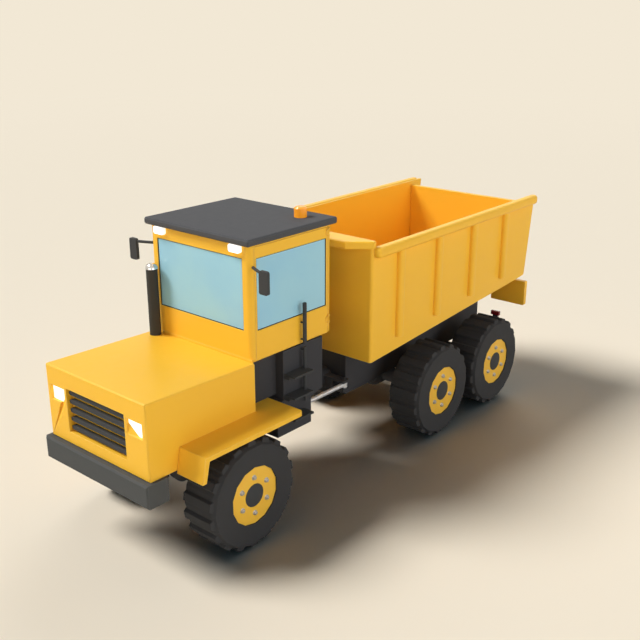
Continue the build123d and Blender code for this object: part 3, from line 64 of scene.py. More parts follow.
Colour = tuple[float, float, float, float]
Socket = bpy.types.NodeSocket
Tree = bpy.types.NodeTree
Mesh = bmesh.types.BMesh


class Slot(Enum):
    """The record's material slots."""

    YELLOW = "yellow"
    DARK_GREY = "dark_grey"
    SEAT = "seat"
    TRIM = "trim"
    CHROME = "chrome"


class Axle(Enum):
    """The three axles, from the front."""

    FRONT = "front"
    MIDDLE = "middle"
    REAR = "rear"


class Side(Enum):
    """The truck's two sides, with the sign of Y."""

    LEFT = ("left", 1.0)
    RIGHT = ("right", -1.0)

    @property
    def word(self) -> str:
        """The side's name in node and body names."""
        return self.value[0]

    @property
    def sign(self) -> float:
        """The sign of Y on this side."""
        return self.value[1]


def linear(code: str) -> Colour:
    """Turns an sRGB hex code into a linear colour.

    The curve has a straight foot up to 0.04045 and a power of 2.4 above it.

    Args:
        code: Six hex digits after a hash.

    Returns:
        Red, green, blue and alpha, linear.
    """
    channels = [int(code[i:i + 2], 16) / 255 for i in (1, 3, 5)]
    red, green, blue = [c / 12.92 if c <= 0.04045 else ((c + 0.055) / 1.055) ** 2.4
                        for c in channels]
    return (red, green, blue, 1.0)


def darker(colour: Colour, share: float) -> Colour:
    """The colour with a share of its light left."""
    return (colour[0] * share, colour[1] * share, colour[2] * share, 1.0)


def direction(azimuth_deg: float, elevation_deg: float) -> Vector:
    """Unit vector from an azimuth, from +X towards +Y, and an elevation.

    Args:
        azimuth_deg: Angle round Z.
        elevation_deg: Angle above the floor.

    Returns:
        The vector.
    """
    a, e = math.radians(azimuth_deg), math.radians(elevation_deg)
    return Vector((math.cos(e) * math.cos(a), math.cos(e) * math.sin(a), math.sin(e)))


def cleared_tree(holder: bpy.types.Material | bpy.types.World) -> Tree:
    """Switches nodes on in a material or a sky, and empties its tree.

    Args:
        holder: The material or the sky.

    Returns:
        The empty tree.
    """
    holder.use_nodes = True
    holder.node_tree.nodes.clear()
    return holder.node_tree


def add_node(tree: Tree, kind: str, settings: dict[str | int, object] | None = None,
             **inputs: object) -> bpy.types.Node:
    """Adds one node with its settings, and sets or links its inputs.

    Args:
        tree: The node tree.
        kind: The node's type name.
        settings: Attributes of the node by name, and inputs by number.
        inputs: Inputs by name with spaces as underscores, each an output socket or a value.

    Returns:
        The new node.
    """
    node = tree.nodes.new(kind)
    values = {key.replace("_", " "): value for key, value in inputs.items()}
    for key, value in (settings or {}).items():
        if isinstance(key, int):
            values[key] = value
        else:
            setattr(node, key, value)
    for key, value in values.items():
        if isinstance(value, Socket):
            tree.links.new(value, node.inputs[key])
        else:
            node.inputs[key].default_value = value
    return node


def pattern(tree: Tree, kind: str, size_mm: float, settings: dict[str | int, object] | None = None,
            **inputs: object) -> bpy.types.Node:
    """Adds a texture in the piece's own space, with its features a real size apart.

    Args:
        tree: The node tree.
        kind: The texture's type name.
        size_mm: Distance between features, in millimetres.
        settings: As for add_node.
        inputs: As for add_node.

    Returns:
        The texture's node.
    """
    point = add_node(tree, "ShaderNodeTexCoord").outputs["Object"]
    return add_node(tree, kind, settings, Vector=point, Scale=1 / (size_mm * MM), **inputs)


def patches(tree: Tree, size_mm: float, low: float, high: float) -> Socket:
    """A value that drifts between two limits in soft patches of a real size.

    Args:
        tree: The node tree.
        size_mm: Size of the patches, in millimetres.
        low: The lower limit.
        high: The upper limit.

    Returns:
        The value.
    """
    noise = pattern(tree, "ShaderNodeTexNoise", size_mm, Detail=PATCH_DETAIL).outputs["Fac"]
    return add_node(tree, "ShaderNodeMapRange", Value=noise, From_Min=NOISE_BAND[0],
                    From_Max=NOISE_BAND[1], To_Min=low, To_Max=high).outputs["Result"]


def drifting(tree: Tree, size_mm: float, value: float, drift: tuple[float, float]) -> Socket:
    """A value that drifts below and above its own in soft patches of a real size."""
    return patches(tree, size_mm, value + drift[0], value + drift[1])


def layered(tree: Tree, under: Colour, *coats: tuple[Socket, Colour]) -> Socket:
    """Builds a colour up in coats.

    Args:
        tree: The node tree.
        under: The colour at the bottom.
        coats: The share that each coat covers and its colour, from the bottom up.

    Returns:
        The colour that shows.
    """
    shown = under
    for share, colour in coats:
        mix = add_node(tree, "ShaderNodeMix", {"data_type": "RGBA", 0: share, 6: shown, 7: colour})
        shown = mix.outputs[2]
    return shown


def relief(tree: Tree, height: Socket, rise_mm: float, strength: float,
           edge_mm: float) -> tuple[Socket, Socket]:
    """Raises a pattern off a surface whose sharp edges are rounded.

    Args:
        tree: The node tree.
        height: The pattern.
        rise_mm: How far the pattern rises, in millimetres.
        strength: Share of the rise that shows.
        edge_mm: Radius of the rounded edges, in millimetres.

    Returns:
        The rounded normal alone, and the rounded normal with the pattern on it.
    """
    bevel = add_node(tree, "ShaderNodeBevel", {"samples": BEVEL_SAMPLES}, Radius=edge_mm * MM)
    rounded = bevel.outputs["Normal"]
    raised = add_node(tree, "ShaderNodeBump", Height=height, Normal=rounded, Strength=strength,
                      Distance=rise_mm * MM)
    return rounded, raised.outputs["Normal"]


def edge_share(tree: Tree, rounded: Socket) -> Socket:
    """Nothing on flat sheet, and up to one on a rounded edge.

    Args:
        tree: The node tree.
        rounded: The rounded normal.

    Returns:
        The share.
    """
    flat = add_node(tree, "ShaderNodeNewGeometry").outputs["Normal"]
    dot = add_node(tree, "ShaderNodeVectorMath", {"operation": "DOT_PRODUCT", 0: rounded, 1: flat})
    return add_node(tree, "ShaderNodeMapRange", Value=dot.outputs["Value"], From_Min=EDGE_BAND[0],
                    From_Max=EDGE_BAND[1], To_Min=0.0, To_Max=1.0).outputs["Result"]


def seen_rays(tree: Tree) -> Socket:
    """One for camera, glossy and transmission rays, and nothing for the rays that carry light.

    Args:
        tree: The node tree.

    Returns:
        The share.
    """
    rays = add_node(tree, "ShaderNodeLightPath").outputs
    seen = rays["Is Camera Ray"]
    for kind in ("Is Glossy Ray", "Is Transmission Ray"):
        either = add_node(tree, "ShaderNodeMath", {"operation": "MAXIMUM", 0: seen, 1: rays[kind]})
        seen = either.outputs[0]
    return seen


@dataclass(frozen=True)
class Finish:
    """What every finish has: its material's name and its main colour."""

    name: str
    colour: str

    def build(self) -> bpy.types.Material:
        """Mixes the finish's material.

        Returns:
            The material.
        """
        material = bpy.data.materials.new(self.name)
        tree = cleared_tree(material)
        shader = add_node(tree, "ShaderNodeBsdfPrincipled", **self.surface(tree))
        add_node(tree, "ShaderNodeOutputMaterial", Surface=shader.outputs[0])
        return material

    def surface(self, tree: Tree) -> dict[str, object]:
        """The shader's inputs, which each kind of finish works out."""
        raise NotImplementedError


@dataclass(frozen=True)
class SprayedPaint(Finish):
    """Two-pack polyurethane machine paint, sprayed on pressed and welded steel.

    The spray leaves a fine orange peel a few millimetres across and a soft satin gloss. The edges
    are drawn lighter, a painted highlight broken up in patches. Soil dust settles low down.
    """

    edge_highlight_colour: str
    dust_colour: str
    roughness: float = 0.42
    specular: float = 0.5
    ior: float = 1.5
    coat: float = 0.12
    coat_roughness: float = 0.25
    edge_mm: float = 12.0
    # Patches that break up the painted edge highlight, and how much of it shows there.
    highlight_patch_mm: float = 60.0
    highlight_range: tuple[float, float] = (0.45, 0.9)
    peel_mm: float = 5.0
    peel_detail: float = 2.0
    peel_rise_mm: float = 0.4
    peel_strength: float = 0.05
    # Broad drifts of the coat's tone, and the light left in the darkest tone.
    cloud_mm: float = 900.0
    cloud: float = 0.05
    shade: float = 0.86
    rough_mm: float = 120.0
    rough_drift: tuple[float, float] = (-0.02, 0.03)
    # Dust is full up to the first height and gone at the second, in metres.
    dust_bottom: float = 0.2
    dust_top: float = 1.6
    dust: float = 0.10
    dust_mm: float = 260.0
    dust_least: float = 0.2

    def surface(self, tree: Tree) -> dict[str, object]:
        """The paint's look.

        Args:
            tree: The material's tree.

        Returns:
            The shader's inputs.
        """
        base = linear(self.colour)
        peel = pattern(tree, "ShaderNodeTexNoise", self.peel_mm, Detail=self.peel_detail)
        rounded, peeled = relief(tree, peel.outputs["Fac"], self.peel_rise_mm, self.peel_strength,
                                 self.edge_mm)
        # The lighter colour on the edges is a painted highlight, broken up in patches.
        shown = layered(tree, darker(base, self.shade),
                        (patches(tree, self.cloud_mm, 1 - self.cloud, 1.0), base),
                        (self._edge(tree, rounded), linear(self.edge_highlight_colour)),
                        (self._dust(tree), linear(self.dust_colour)))
        rough = drifting(tree, self.rough_mm, self.roughness, self.rough_drift)
        return {"Base_Color": shown, "Roughness": rough, "IOR": self.ior, "Normal": peeled,
                "Specular_IOR_Level": self.specular, "Coat_Weight": self.coat,
                "Coat_Roughness": self.coat_roughness}

    def _edge(self, tree: Tree, rounded: Socket) -> Socket:
        """Share of the painted edge highlight, broken up in patches.

        Args:
            tree: The material's tree.
            rounded: The rounded normal.

        Returns:
            The share.
        """
        edge, highlight_patches = edge_share(tree, rounded), patches(tree, self.highlight_patch_mm, *self.highlight_range)
        both = add_node(tree, "ShaderNodeMath", {"operation": "MULTIPLY", 0: edge, 1: highlight_patches})
        return both.outputs[0]

    def _dust(self, tree: Tree) -> Socket:
        """Share of dust, less and less from the ground up, in patches.

        Args:
            tree: The material's tree.

        Returns:
            The share.
        """
        point = add_node(tree, "ShaderNodeTexCoord").outputs["Object"]
        height = add_node(tree, "ShaderNodeSeparateXYZ", Vector=point).outputs["Z"]
        low = add_node(tree, "ShaderNodeMapRange", Value=height, From_Min=self.dust_bottom,
                       From_Max=self.dust_top, To_Min=self.dust, To_Max=0.0).outputs["Result"]
        patch = patches(tree, self.dust_mm, self.dust_least, 1.0)
        both = add_node(tree, "ShaderNodeMath", {"operation": "MULTIPLY", 0: low, 1: patch})
        return both.outputs[0]


@dataclass(frozen=True)
class MouldedRubber(Finish):
    """Carbon-black rubber, vulcanised in a steel mould or drawn through a die.

    Its skin is matt with a fine grain, and a dry bloom makes patches paler. The edges are drawn
    paler as a painted highlight. The real grain is under a millimetre, too fine to show, so it is
    drawn far coarser.
    """

    bloom_and_highlight_colour: str
    roughness: float = 0.85
    rough_drift: tuple[float, float] = (-0.06, 0.08)
    specular: float = 0.2
    ior: float = 1.52
    grain_mm: float = 7.0
    grain_detail: float = 5.0
    grain_rise_mm: float = 0.8
    grain_strength: float = 0.25
    bloom_mm: float = 160.0
    bloom: float = 0.55
    edge_mm: float = 16.0

    def surface(self, tree: Tree) -> dict[str, object]:
        """The rubber's look.

        Args:
            tree: The material's tree.

        Returns:
            The shader's inputs.
        """
        pale = linear(self.bloom_and_highlight_colour)
        grain = pattern(tree, "ShaderNodeTexNoise", self.grain_mm, Detail=self.grain_detail)
        rounded, grained = relief(tree, grain.outputs["Fac"], self.grain_rise_mm,
                                  self.grain_strength, self.edge_mm)
        # The pale colour on the edges is a painted highlight; in the patches it is the rubber's
        # bloom.
        shown = layered(tree, linear(self.colour),
                        (patches(tree, self.bloom_mm, 0.0, self.bloom), pale),
                        (edge_share(tree, rounded), pale))
        rough = drifting(tree, self.bloom_mm, self.roughness, self.rough_drift)
        return {"Base_Color": shown, "Roughness": rough, "IOR": self.ior, "Normal": grained,
                "Specular_IOR_Level": self.specular}


@dataclass(frozen=True)
class PlatedMetal(Finish):
    """A bright metal coat: chrome or zinc plated on steel, or silver behind a mirror's glass.

    It mirrors its surroundings, softened by fine grinding marks or the crystals of the coat. The
    real marks are a fraction of a millimetre apart, too fine to show, so they are drawn coarser.
    """

    roughness: float = 0.18
    rough_mm: float = 25.0
    rough_drift: tuple[float, float] = (-0.04, 0.08)
    metallic: float = 1.0
    mark_mm: float = 3.0
    mark_detail: float = 4.0
    mark_rise_mm: float = 0.1
    mark_strength: float = 0.06
    shade_mm: float = 40.0
    shade: float = 0.9
    edge_mm: float = 2.0

    def surface(self, tree: Tree) -> dict[str, object]:
        """The coat's look.

        Args:
            tree: The material's tree.

        Returns:
            The shader's inputs.
        """
        base = linear(self.colour)
        marks = pattern(tree, "ShaderNodeTexNoise", self.mark_mm, Detail=self.mark_detail)
        _, marked = relief(tree, marks.outputs["Fac"], self.mark_rise_mm, self.mark_strength,
                           self.edge_mm)
        shown = layered(tree, base, (patches(tree, self.shade_mm, 0.0, 1.0),
                                     darker(base, self.shade)))
        rough = drifting(tree, self.rough_mm, self.roughness, self.rough_drift)
        return {"Base_Color": shown, "Metallic": self.metallic, "Roughness": rough,
                "Normal": marked}


@dataclass(frozen=True)
class TintedGlass(Finish):
    """Laminated safety glass, floated and tinted pale blue, with a reflective film.

    The film makes it look solid from outside, with a clean, soft gloss that wavers a little.
    """

    deep_colour: str
    roughness: float = 0.16
    specular: float = 0.3
    ior: float = 1.52
    clear: float = 0.05
    wave_mm: float = 700.0
    wave_detail: float = 1.0
    wave_rise_mm: float = 1.0
    wave_strength: float = 0.04

    def surface(self, tree: Tree) -> dict[str, object]:
        """The glass's look.

        Args:
            tree: The material's tree.

        Returns:
            The shader's inputs.
        """
        shown = layered(tree, linear(self.colour),
                        (patches(tree, self.wave_mm, 0.0, 1.0), linear(self.deep_colour)))
        wave = pattern(tree, "ShaderNodeTexNoise", self.wave_mm, Detail=self.wave_detail)
        bump = add_node(tree, "ShaderNodeBump", Height=wave.outputs["Fac"],
                        Strength=self.wave_strength, Distance=self.wave_rise_mm * MM)
        return {"Base_Color": shown, "Roughness": self.roughness, "IOR": self.ior,
                "Normal": bump.outputs["Normal"], "Specular_IOR_Level": self.specular,
                "Transmission_Weight": self.clear}


@dataclass(frozen=True)
class LensPlastic(Finish):
    """Polycarbonate lens, injection moulded, with shallow upright flutes that spread the light.

    It is clear and glossy, and glows where its lamp is lit. Real flutes are closer together, too
    fine to show, so they are drawn a few times as wide.
    """

    glow: float
    roughness: float = 0.22
    ior: float = 1.58
    coat: float = 0.3
    flute_mm: float = 63.2
    flute_rise_mm: float = 1.0
    flute_strength: float = 0.15
    edge_mm: float = 10.0
    shade_mm: float = 30.0
    shade: float = 0.85
    shade_share: float = 0.4

    def surface(self, tree: Tree) -> dict[str, object]:
        """The lens's look.

        Args:
            tree: The material's tree.

        Returns:
            The shader's inputs.
        """
        base = linear(self.colour)
        flutes = pattern(tree, "ShaderNodeTexWave", self.flute_mm * WAVE_UNIT,
                         {"bands_direction": "Y"}, Distortion=0.0)
        _, fluted = relief(tree, flutes.outputs["Fac"], self.flute_rise_mm, self.flute_strength,
                           self.edge_mm)
        shown = layered(tree, base, (patches(tree, self.shade_mm, 0.0, self.shade_share),
                                     darker(base, self.shade)))
        return {"Base_Color": shown, "Roughness": self.roughness, "IOR": self.ior,
                "Normal": fluted, "Coat_Weight": self.coat, "Emission_Color": base,
                "Emission_Strength": self.glow}


@dataclass(frozen=True)
class GrainedPolymer(Finish):
    """Moulded polymer or coated cloth with a leather grain.

    The grain is a net of cells a few millimetres wide, and keeps the gloss low.
    """

    roughness: float
    cell_mm: float
    cell_rise_mm: float = 0.5
    cell_strength: float = 0.3
    edge_mm: float = 6.0
    rough_mm: float = 45.0
    rough_drift: tuple[float, float] = (-0.05, 0.07)
    shade_mm: float = 90.0
    shade: float = 0.8
    shade_share: float = 0.8

    def surface(self, tree: Tree) -> dict[str, object]:
        """The polymer's look.

        Args:
            tree: The material's tree.

        Returns:
            The shader's inputs.
        """
        base = linear(self.colour)
        cells = pattern(tree, "ShaderNodeTexVoronoi", self.cell_mm, {"feature": "DISTANCE_TO_EDGE"})
        _, grained = relief(tree, cells.outputs["Distance"], self.cell_rise_mm, self.cell_strength,
                            self.edge_mm)
        shown = layered(tree, base, (patches(tree, self.shade_mm, 0.0, self.shade_share),
                                     darker(base, self.shade)))
        rough = drifting(tree, self.rough_mm, self.roughness, self.rough_drift)
        return {"Base_Color": shown, "Roughness": rough, "Normal": grained}


# The bodywork's warm yellow, satin, so that broad panels read clean and even.
PAINT_YELLOW = SprayedPaint("sprayed_paint_machine_yellow", "#FBC137", "#FFDA7C", "#B9A07A",
                            specular=0.22)
# The same paint on the rims, a little paler, with crisper edges.
PAINT_RIM = SprayedPaint("sprayed_paint_rim_yellow", "#FCC43D", "#FFD670", "#A99270", dust=0.05,
                         edge_mm=5.0)
# Frames, axles and hitch: a matt near-black that keeps the running gear quiet.
PAINT_CHASSIS = SprayedPaint("sprayed_paint_chassis_black", "#3E3E41", "#57585A", "#6A6256",
                             roughness=0.75, specular=0.15, coat=0.0, dust=0.08, edge_mm=8.0)
# The bumper's matt mid grey, a tone above the frame's, with broad soft edges.
PAINT_BUMPER = SprayedPaint("sprayed_paint_bumper_grey", "#4F504F", "#6E6F6D", "#7A7264",
                            roughness=0.75, specular=0.15, coat=0.0, dust=0.04, edge_mm=14.0)
# The roof's flat cool grey, which shows no highlight.
PAINT_ROOF = SprayedPaint("sprayed_paint_roof_grey", "#525254", "#747577", "#7A7264",
                          roughness=0.8, specular=0.12, coat=0.0, dust=0.0, edge_mm=14.0,
                          cloud=0.03)
# Grille, steps, mirrors, rail and hub covers: a dark grey with a faint sheen.
PAINT_TRIM = SprayedPaint("sprayed_paint_trim_black", "#3F4041", "#5C5D5E", "#6A6256",
                          roughness=0.7, specular=0.2, coat=0.0, dust=0.03, edge_mm=6.0)
# The exhaust stack's heat-proof paint, baked to a warm brown black.
PAINT_STACK = SprayedPaint("heat_proof_paint_stack_black", "#3C3B38", "#4C4B44", "#5A544A",
                           roughness=0.7, specular=0.2, coat=0.0, dust=0.0, edge_mm=4.0,
                           peel_mm=3.0)
# The engine's plain grey, dull and dusty.
PAINT_ENGINE = SprayedPaint("sprayed_paint_engine_grey", "#484A4C", "#626466", "#6A6256",
                            roughness=0.7, specular=0.2, coat=0.0, edge_mm=10.0)
# Tyres: matt charcoal, with lugs that stand out by their shade alone.
RUBBER_TYRE = MouldedRubber("moulded_rubber_tyre", "#39393B", "#3F3E3D")
# Window seals: a thin black line round each pane.
RUBBER_SEAL = MouldedRubber("extruded_rubber_seal", "#2B2E2E", "#3A3D3D", grain_mm=3.0, edge_mm=2.0)
# The grab rail's sleeve, a soft dark grey.
RUBBER_GRIP = MouldedRubber("moulded_rubber_grip", "#3B3C3D", "#494A4B", grain_mm=3.0, edge_mm=3.0)
# The exhaust's cap: polished chrome, the brightest metal on the truck.
STEEL_CHROME = PlatedMetal("chromed_steel", "#D8D8DA")
# Cylinder rods: hard chrome ground satin, so they read pale from every side.
STEEL_ROD = PlatedMetal("hard_chromed_rod_satin", "#E2E2E4", roughness=0.42, metallic=0.55)
# Wheel bolts: dull pale zinc.
STEEL_BOLT = PlatedMetal("zinc_plated_steel_bolt", "#B9B9BC", roughness=0.45)
# Mirrors: silvered glass, almost sharp, with a slow waver in place of marks.
MIRROR_FACE = PlatedMetal("silvered_mirror_glass", "#DDE3E6", roughness=0.07, mark_mm=200.0)
# Windows: an even sky blue.
GLASS_CAB = TintedGlass("tinted_safety_glass", "#A4D6E7", "#9DD1E8")
# Headlamps and work lights, lit white.
LENS_WHITE = LensPlastic("polycarbonate_lens_clear", "#FFFEFA", 0.75)
# Tail lamps, hardly lit: a deep red.
LENS_RED = LensPlastic("polycarbonate_lens_red", "#7A1620", 0.05)
# The beacon, a glowing amber.
LENS_AMBER = LensPlastic("polycarbonate_lens_amber", "#FF9F1C", 0.25, flute_mm=94.7)
# The seat's black coated cloth, soft and dull.
VINYL_SEAT = GrainedPolymer("coated_cloth_seat_black", "#2C2D2E", 0.6, 4.0)
# The dashboard's charcoal ABS, moulded with a fine leather grain.
PLASTIC_DASH = GrainedPolymer("moulded_abs_dashboard", "#3A3B3C", 0.65, 3.0)


def material_of(finish: Finish) -> bpy.types.Material:
    """The finish's material, mixed at its first use."""
    return bpy.data.materials.get(finish.name) or finish.build()


def dress(finishes: dict[str, Finish]) -> None:
    """Gives each CAD node its one finish.

    Args:
        finishes: The finishes, by the nodes' names.
    """
    for node, finish in finishes.items():
        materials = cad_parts[node].data.materials
        materials.clear()
        materials.append(material_of(finish))
        LOG.info("node %s: %s", node, finish.name)


def add_piece(name: str, mesh: Mesh, finish: Finish, body: str,
              smooth_deg: float = 35.0) -> bpy.types.Object:
    """Turns a mesh in the row frame into a finished piece on a body.

    Args:
        name: The piece's name.
        mesh: The mesh, which is freed.
        finish: Its finish.
        body: The CAD body that it rides on.
        smooth_deg: Faces that meet under this angle are shaded as one surface.

    Returns:
        The new object.
    """
    bmesh.ops.recalc_face_normals(mesh, faces=mesh.faces)
    limit = math.radians(smooth_deg)
    for face in mesh.faces:
        face.smooth = True
    for edge in mesh.edges:
        edge.smooth = edge.is_manifold and edge.calc_face_angle(0.0) < limit
    data = bpy.data.meshes.new(name)
    mesh.to_mesh(data)
    mesh.free()
    data.materials.append(material_of(finish))
    obj = bpy.data.objects.new(name, data)
    bpy.context.scene.collection.objects.link(obj)
    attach(obj, body)
    LOG.info("piece %s on %s: %s", name, body, finish.name)
    return obj


def lathe(mesh: Mesh, profile: Sequence[tuple[float, float]], at: Vector, axis: Vector,
          sides: int, turn_deg: float = 0.0) -> None:
    """Turns a profile round an axis.

    Args:
        mesh: The mesh to add to.
        profile: (radius, distance along the axis) from one end to the other, closed at the ends.
        at: Where the axis starts.
        axis: The axis's direction.
        sides: Faces round the axis.
        turn_deg: Angle of the first corner.
    """
    rotate = axis.to_track_quat("Z", "Y").to_matrix().to_4x4()
    move = Matrix.Translation(at) @ rotate
    rings = []
    for radius, along in profile:
        ring = []
        for i in range(sides):
            angle = math.radians(turn_deg) + 2 * math.pi * i / sides
            point = Vector((radius * math.cos(angle), radius * math.sin(angle), along))
            ring.append(mesh.verts.new(move @ point))
        rings.append(ring)
    for low, high in zip(rings, rings[1:]):
        for i in range(sides):
            j = (i + 1) % sides
            mesh.faces.new((low[i], low[j], high[j], high[i]))
    mesh.faces.new(list(reversed(rings[0])))
    mesh.faces.new(rings[-1])


def rounded_box(mesh: Mesh, low: Vector, high: Vector, edge: float, steps: int = 2) -> None:
    """A box with rounded edges between two corners.

    Args:
        mesh: The mesh to add to.
        low: Lowest corner.
        high: Highest corner.
        edge: Radius of the edges.
        steps: Faces across a rounded edge.
    """
    part = bmesh.new()
    bmesh.ops.create_cube(part, size=1.0)
    bmesh.ops.scale(part, vec=high - low, verts=part.verts)
    bmesh.ops.translate(part, vec=(high + low) / 2, verts=part.verts)
    bmesh.ops.bevel(part, geom=list(part.edges), offset=edge, segments=steps, profile=0.5,
                    affect="EDGES")
    data = bpy.data.meshes.new("part")
    part.to_mesh(data)
    part.free()
    mesh.from_mesh(data)
    bpy.data.meshes.remove(data)


@dataclass
class WheelDress:
    """Hub cover and wheel bolts of one wheel."""

    axle: Axle
    side: Side
    face_inset: float = 0.022
    bolt_circle: float = 0.268
    bolt_count: int = 6
    first_bolt_deg: float = 30.0
    bolt_radius: float = 0.031
    bolt_height: float = 0.030
    bolt_bevel: float = 0.006
    bolt_tip: float = 0.84
    # Each bolt stops this much further round than the one before.
    bolt_turn_deg: float = 30.0
    washer_radius: float = 0.038
    washer_height: float = 0.006
    washer_sides: int = 24
    stud_radius: float = 0.013
    stud_height: float = 0.008
    stud_sides: int = 12
    # The bevel of washers and studs, inwards and along.
    bevel: tuple[float, float] = (0.003, 0.002)
    cover_radius: float = 0.1675
    cover_edge: float = 0.004
    cover_bulge: float = 0.3
    cover_sides: int = 64
    skin: float = 0.0012

    def build(self) -> None:
        """Builds the wheel's cover and bolts, and dresses its nodes."""
        tag = f"{self.axle.value}_{self.side.word}"
        dress({f"tyre_{tag}": RUBBER_TYRE, f"rim_{tag}": PAINT_RIM})
        low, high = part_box(f"tyre_{tag}")
        face = (low + high) / 2
        face.y += self.side.sign * ((high.y - low.y) / 2 - self.face_inset)
        outward = Vector((0.0, self.side.sign, 0.0))
        self._bolts(tag, face, outward)
        self._cover(tag, face, outward)

    def _bolts(self, tag: str, face: Vector, outward: Vector) -> None:
        """The hexagon bolts, each on its washer, with the end of its stud.

        Args:
            tag: The wheel's place, as its body's name says it.
            face: Middle of the disc that the bolts hold.
            outward: Direction away from the truck.
        """
        mesh = bmesh.new()
        for i in range(self.bolt_count):
            angle = math.radians(self.first_bolt_deg + 360 * i / self.bolt_count)
            spot = face + self.bolt_circle * Vector((math.cos(angle), 0, math.sin(angle)))
            top = spot + outward * self.bolt_height
            self._disc(mesh, spot, outward, self.washer_radius, self.washer_height,
                       self.washer_sides)
            lathe(mesh, [(self.bolt_radius, self.washer_height),
                         (self.bolt_radius, self.bolt_height - self.bolt_bevel),
                         (self.bolt_radius * self.bolt_tip, self.bolt_height)],
                  spot, outward, HEXAGON, self.bolt_turn_deg * i)
            self._disc(mesh, top, outward, self.stud_radius, self.stud_height, self.stud_sides)
        add_piece(f"wheel_bolts_{tag}", mesh, STEEL_BOLT, f"wheel_{tag}")

    def _disc(self, mesh: Mesh, at: Vector, outward: Vector, radius: float, height: float,
              sides: int) -> None:
        """A round disc with a bevelled outer edge.

        Args:
            mesh: The mesh to add to.
            at: Middle of the disc's foot.
            outward: Direction away from the truck.
            radius: The disc's radius.
            height: Its height.
            sides: Faces round it.
        """
        inwards, along = self.bevel
        lathe(mesh, [(radius, 0.0), (radius, height - along), (radius - inwards, height)], at,
              outward, sides)

    def _cover(self, tag: str, face: Vector, outward: Vector) -> None:
        """A dark cover over the hub, with a bulging edge.

        Args:
            tag: The wheel's place, as its body's name says it.
            face: Middle of the disc that the cover stands on.
            outward: Direction away from the truck.
        """
        mesh = bmesh.new()
        rim_low, rim_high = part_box(f"rim_{tag}")
        reach = (rim_high.y if self.side.sign > 0 else -rim_low.y) - abs(face.y)
        radius, top, edge = self.cover_radius, reach + self.skin, self.cover_edge
        bulge = edge * self.cover_bulge
        lathe(mesh, [(radius, 0.0), (radius, top - edge), (radius - bulge, top - bulge),
                     (radius - edge, top)], face, outward, self.cover_sides)
        add_piece(f"hub_cover_{tag}", mesh, PAINT_TRIM, f"wheel_{tag}")


@dataclass
class ChassisDress:
    """Finishes of frames, axles, hitch, cylinders, boxes and steps."""

    finishes: dict[str, Finish] = field(default_factory=lambda: {
        "front_frame": PAINT_CHASSIS, "front_cross_members": PAINT_CHASSIS,
        "engine": PAINT_ENGINE, "front_axle": PAINT_CHASSIS, "side_boxes": PAINT_CHASSIS,
        "access_steps": PAINT_TRIM, "hitch_link": PAINT_CHASSIS,
        "steer_barrel_left": PAINT_TRIM, "steer_barrel_right": PAINT_TRIM,
        "steer_rod_left": STEEL_ROD, "steer_rod_right": STEEL_ROD,
        "rear_frame": PAINT_CHASSIS, "rear_cross_members": PAINT_CHASSIS,
        "rear_axles": PAINT_CHASSIS, "tail_lamps": LENS_RED,
        "hoist_barrels": PAINT_TRIM, "hoist_rods": STEEL_ROD})

    def build(self) -> None:
        """Dresses the running gear's nodes."""
        dress(self.finishes)


@dataclass
class BodyworkDress:
    """Finishes of hood, grille, fenders, bumper, lamps, tipping body and tailgate."""

    finishes: dict[str, Finish] = field(default_factory=lambda: {
        "hood": PAINT_YELLOW, "grille": PAINT_TRIM, "fenders": PAINT_YELLOW,
        "bumper": PAINT_BUMPER, "front_lamps": LENS_WHITE, "dump_body": PAINT_YELLOW,
        "tailgate": PAINT_YELLOW})

    def build(self) -> None:
        """Dresses the bodywork's nodes."""
        dress(self.finishes)


@dataclass
class CowlStrip:
    """The pressed strip that closes the joint between the hood and the cab's front wall."""

    proud: float = 0.004
    depth: float = 0.030
    height: float = 0.070
    drop: float = 0.015
    end_gap: float = 0.006
    edge: float = 0.002

    def build(self) -> None:
        """Builds the strip over the joint, as wide as the cab."""
        cab_low, cab_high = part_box("cab_shell")
        front, half = cab_high.x + self.proud, -cab_low.y - self.end_gap
        bottom = cab_low.z - self.drop
        mesh = bmesh.new()
        rounded_box(mesh, Vector((front - self.depth, -half, bottom)),
                    Vector((front, half, bottom + self.height)), self.edge)
        add_piece("cowl_strip", mesh, PAINT_YELLOW, "front_unit")


@dataclass
class Window:
    """One pane's opening: the body that holds it, its plane, and its extent in that plane."""

    name: str
    body: str
    along: Vector
    outward: Vector
    centre: Vector
    half_width: float
    half_height: float


